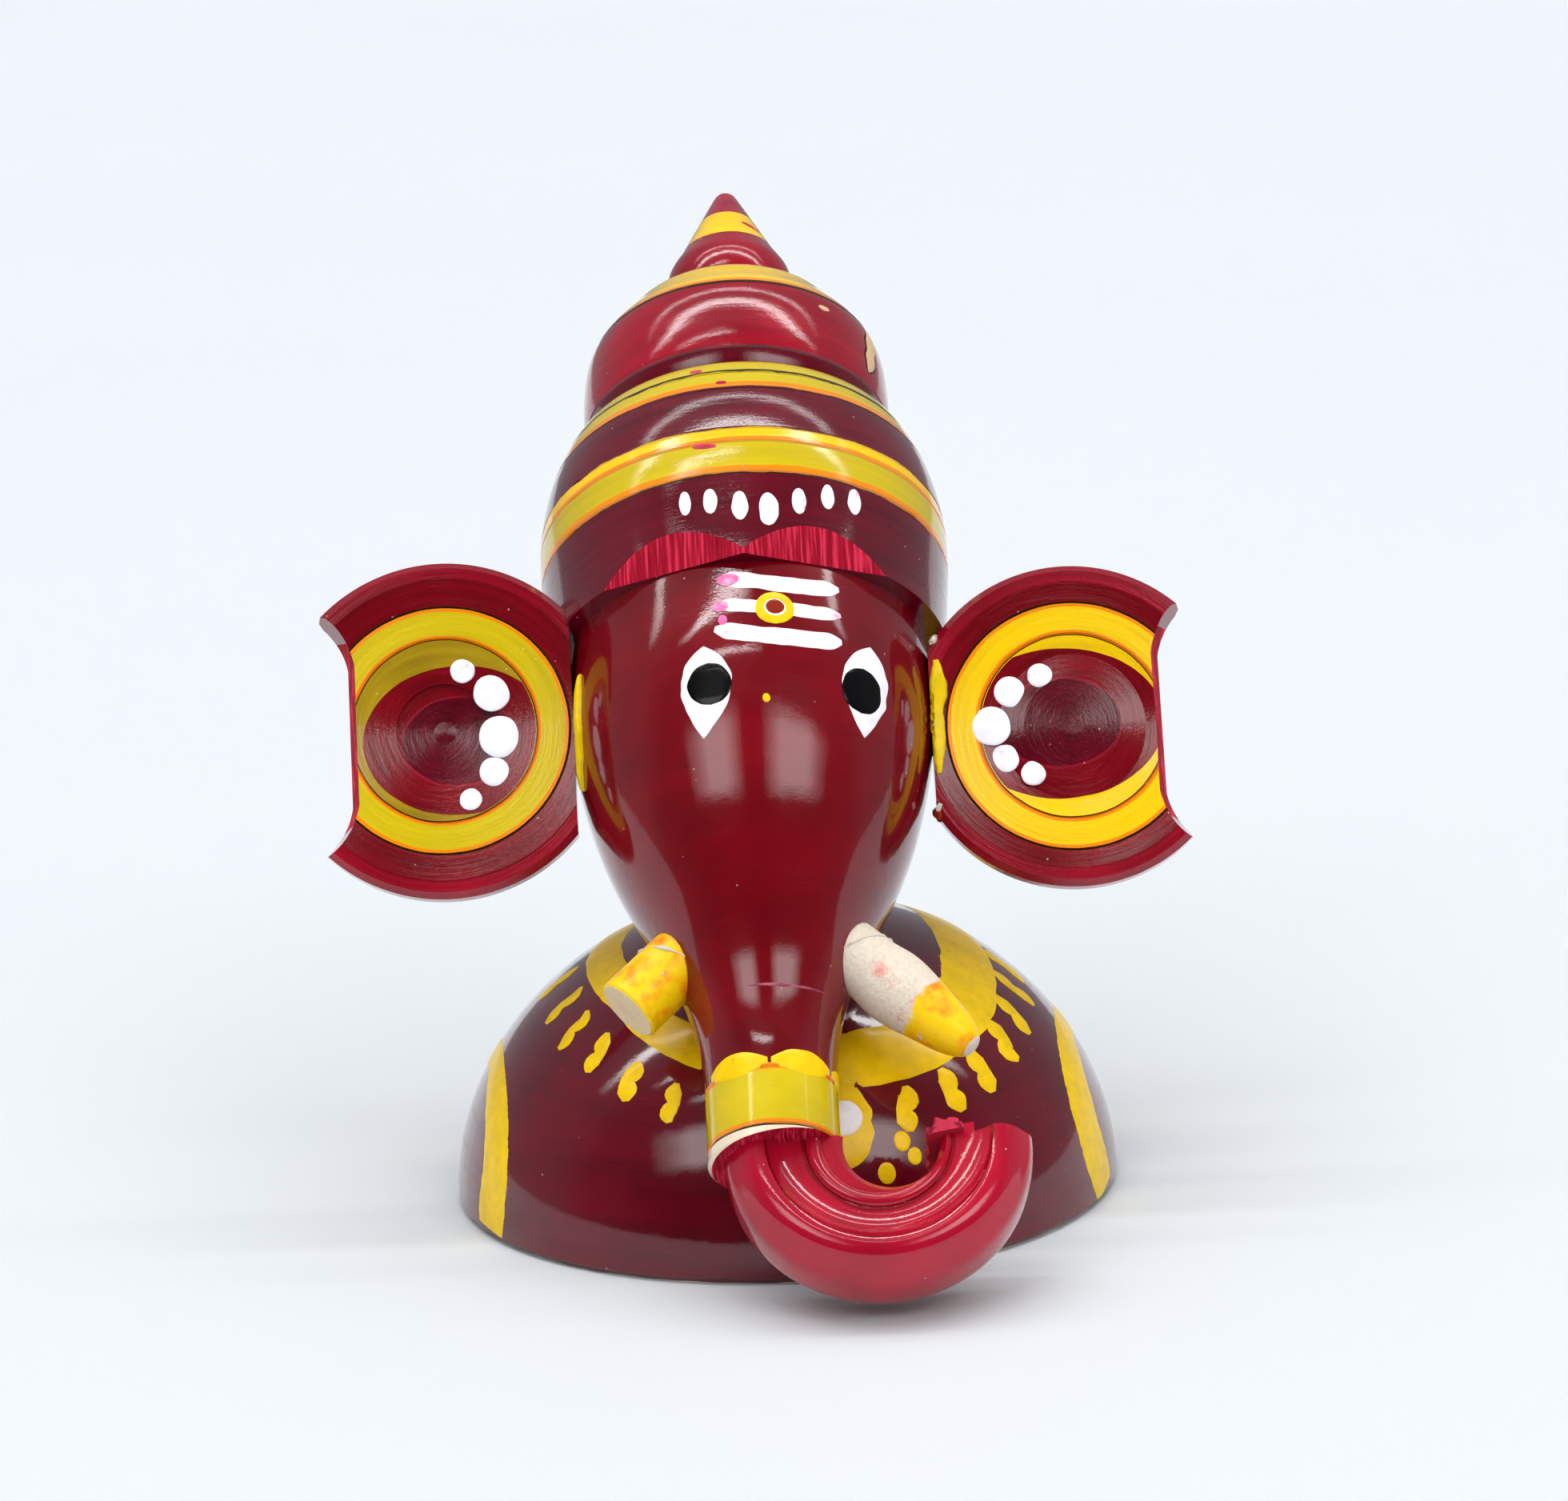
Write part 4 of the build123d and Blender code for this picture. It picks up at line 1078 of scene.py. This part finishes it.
@dataclass
class Joints:
    """Paint and glue that ran into the joints between the pieces."""

    def build(self) -> None:
        """Lay the beads down both ear joints."""
        yellow, white, red = YELLOW_GLUE.build(), WHITE_GLUE.build(), RED_INK.build()
        brush = Brush("head_trunk", seed=11, wobble=0.25)
        rows = (
            (-14.9, -6.6, 46.3), (-15.0, -5.9, 43.4), (-15.15, -4.9, 40.6), (-15.1, -3.6, 38.6),
            (-15.0, -2.2, 37.0),
        )
        left = [Place.HEAD.value @ Vector(row) for row in rows]
        brush.stroke("ear_left_bead", left, [0.2, 0.5, 0.6, 0.5, 0.2], yellow, 0.5, cells=(40, 8))
        ear = Brush("ear_right", seed=12, wobble=0.25)
        rows = ((0.7, 5.6), (0.75, 3.6), (0.6, 1.2), (0.5, -1.4), (0.45, -4.6))
        right = [Place.EAR_RIGHT.value @ Vector((x - 12.4, y + 0.8, 1.2)) for x, y in rows]
        ear.stroke("ear_right_bead", right, [0.25, 0.7, 0.75, 0.7, 0.25], yellow, 0.4, cells=(40, 8))
        crumbs = (("a", 0.45, 7.6, 0.26, white), ("b", 0.35, -7.6, 0.22, white), ("c", -0.1, -8.3, 0.42, red))
        for name, x, y, size, paint in crumbs:
            spot = Place.EAR_RIGHT.value @ Vector((x - 12.4, y + 0.8, 1.1))
            up = Place.EAR_RIGHT.value.to_3x3() @ Vector((0, 1, 0))
            ear.dot(f"glue_crumb_{name}", spot, up, (size * 1.4, size), paint, height=0.4)
        LOG.info("joints: %d beads and crumbs", brush.count + ear.count)


@dataclass
class HiddenPegs:
    """Dowels and bamboo pins inside the glued joints."""

    def build(self) -> None:
        """Give each peg its own dry wood."""
        birch = BareWood("birch_dowel_raw", Place.HEAD, "#DEC69C", "#A98756").build()
        bamboo = BareWood("bamboo_skewer_raw", Place.BODY, "#D8BE84", "#9C7A3E", (0.3, 3.5, 3.5)).build()
        for name in ("neck_dowel", "crown_dowel"):
            dress(name, birch)
        for name in ("curl_pin", "ear_pin_left", "ear_pin_right"):
            dress(name, bamboo)
        LOG.info("pegs: five dressed")


@dataclass(frozen=True)
class StripLamp:
    """A long lamp far away, as the direction that it fills."""

    tilt: float            # degrees from overhead, towards the back
    width: float           # degrees across
    left: float            # degrees to its left end
    right: float           # degrees to its right end
    strength: float        # radiance
    blur: float = 0.5      # soft edge, as a share of half the width


@dataclass
class Studio:
    """Plain white table, soft light from above and a lens level with the figure."""

    lens: float = 113.24         # mm on a 36 mm wide sensor
    eye: tuple[float, float, float] = (1.3356, -430.484, 136.752)
    right: tuple[float, float, float] = (0.99904822, -0.00957153, -0.04255628)
    up: tuple[float, float, float] = (0.04361939, 0.21922397, 0.97469903)
    floor_size: float = 8.0      # m
    fill_width: float = 100.0    # degrees across each soft fill
    strips: tuple[StripLamp, ...] = (
        StripLamp(5.0, 3.4, -42, 42, 13.0, 0.3),
        StripLamp(20.0, 2.4, -38, 38, 7.0, 0.3),
        StripLamp(-11.0, 1.3, -30, -3, 16.0),
        StripLamp(-24.0, 1.8, -22, 2, 10.0),
        StripLamp(-46.0, 13.0, -36, -14, 4.0, 0.8),
        StripLamp(-46.0, 13.0, 13, 40, 4.0, 0.8),
    )

    def build(self) -> None:
        """Set up the camera, the light and the table."""
        self._camera()
        self._lights()
        self._floor()
        bpy.context.scene.view_settings.view_transform = "Standard"

    def _camera(self) -> None:
        """Place the camera."""
        data = bpy.data.cameras.new("camera")
        data.sensor_fit, data.sensor_width, data.lens = "HORIZONTAL", 36.0, self.lens
        data.clip_start, data.clip_end = 0.01, 20.0
        camera = bpy.data.objects.new("camera", data)
        bpy.context.collection.objects.link(camera)
        back = Vector(self.right).cross(Vector(self.up))
        turned = Matrix((self.right, self.up, back)).transposed().to_4x4()
        camera.matrix_world = Matrix.Translation(Vector(self.eye) * MM) @ turned
        bpy.context.scene.camera = camera

    def _lights(self) -> None:
        """Hang the soft fills, which leave no highlight, and the strip lamps that the lacquer mirrors."""
        for name, lean, sway, strength in (("top_fill", 12.0, 0.0, 0.95), ("front_fill", -50.0, 4.0, 1.1)):
            data = bpy.data.lights.new(name, "SUN")
            data.angle, data.energy = math.radians(self.fill_width), strength
            lamp = bpy.data.objects.new(name, data)
            bpy.context.collection.objects.link(lamp)
            lamp.matrix_world = turn(-lean, "X") @ turn(sway, "Y") @ Matrix.Translation((0, 0, 1))
            lamp.visible_glossy = False
        world = bpy.data.worlds.new("pale_room")
        bpy.context.scene.world = world
        world.use_nodes = True
        room = Nodes(world.node_tree)
        aim = room.add("TexCoord").outputs["Generated"]
        axes = room.add("SeparateXYZ", {"Vector": aim})
        front = room.add("VectorMath", {0: aim, 1: (0, -1, 0.1)}, operation="DOT_PRODUCT").outputs["Value"]
        ramp = room.add("ValToRGB", {"Fac": front})
        tones = [(0.0, linear("#8E9298")), (0.35, linear("#5E6064")), (0.85, linear("#303034"))]
        fill_ramp(ramp, tones, "EASE")
        tilt = room.add("Math", {0: axes.outputs["Y"], 1: axes.outputs["Z"]}, operation="ARCTAN2")
        total = ramp.outputs["Color"]
        for strip in self.strips:
            away = room.add("Math", {0: tilt, 1: math.radians(strip.tilt)}, operation="SUBTRACT")
            away = room.add("Math", {0: away}, operation="ABSOLUTE")
            edge = math.radians(strip.width / 2)
            outer = edge * (1 + strip.blur)
            tall = room.add("MapRange", {0: away, 1: outer, 2: edge, 3: 0.0, 4: strip.strength})
            low, high = math.sin(math.radians(strip.left)), math.sin(math.radians(strip.right))
            aside = room.add("Math", {0: axes.outputs["X"], 1: (low + high) / 2}, operation="SUBTRACT")
            aside = room.add("Math", {0: aside}, operation="ABSOLUTE")
            half = (high - low) / 2
            long = room.add("MapRange", {0: aside, 1: half + 0.12, 2: half - 0.08})
            glow = room.add("Math", {0: tall, 1: long}, operation="MULTIPLY")
            total = room.add("VectorMath", {0: total, 1: glow}, operation="ADD")
        sky = room.add("Background", {"Color": total})
        room.add("OutputWorld", {"Surface": sky})

    def _floor(self) -> None:
        """Lay the white table top."""
        deselect()
        bpy.ops.mesh.primitive_plane_add(size=self.floor_size, location=(0, 0, 0))
        floor = bpy.context.object
        floor.name = floor.data.name = "table"
        paper = Finish("white_card_matt")
        point = paper.local(Place.BODY)
        tone = paper.add("TexNoise", {"Vector": point, "Scale": 0.004, "Detail": 2.0})
        tone = paper.add("MapRange", {0: tone, 1: 0.3, 2: 0.7, 3: 0.985, 4: 1.0})
        colour = paper.add("VectorMath", {0: (0.63, 0.66, 0.685), "Scale": tone}, operation="SCALE")
        tooth = paper.add("TexNoise", {"Vector": point, "Scale": 3.0})
        relief = paper.add("Math", {0: tooth, 1: 0.01}, operation="MULTIPLY")
        floor.data.materials.append(paper.finish(colour, 0.6, relief, Specular_IOR_Level=0.3))


def clear_start_up() -> None:
    """Remove the objects of a new file."""
    for thing in list(bpy.data.objects):
        bpy.data.objects.remove(thing)


def main() -> None:
    """Build the figure piece by piece."""
    logging.basicConfig(level=logging.INFO, format="%(name)s: %(message)s")
    clear_start_up()
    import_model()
    Studio().build()
    parts = (
        BodyDome(),
        HeadTrunk(),
        Crown(),
        Ear("left", Place.EAR_LEFT, 15.1,
            ((1.8, 5.35, 1.1), (4.3, 3.2, 1.65), (4.85, -0.75, 1.9), (4.25, -3.9, 1.32), (2.1, -6.3, 1.0)),
            (1.2, -0.9, 1.25), (OLIVE, "#A88A14")),
        Ear("right", Place.EAR_RIGHT, 14.4,
            (
                (-2.6, 4.6, 1.1), (-5.35, 3.35, 1.4), (-7.15, 0.3, 1.75), (-6.05, -2.6, 1.25),
                (-3.7, -4.1, 1.1),
            ),
            (-1.0, 0.3, 1.35), (YELLOW, YELLOW)),
        Tusks(),
        TrunkCurl(),
        Joints(),
        HiddenPegs(),
    )
    for part in parts:
        part.build()
        LOG.info("%s finished", type(part).__name__)
    deselect()


if __name__ == "__main__":
    main()
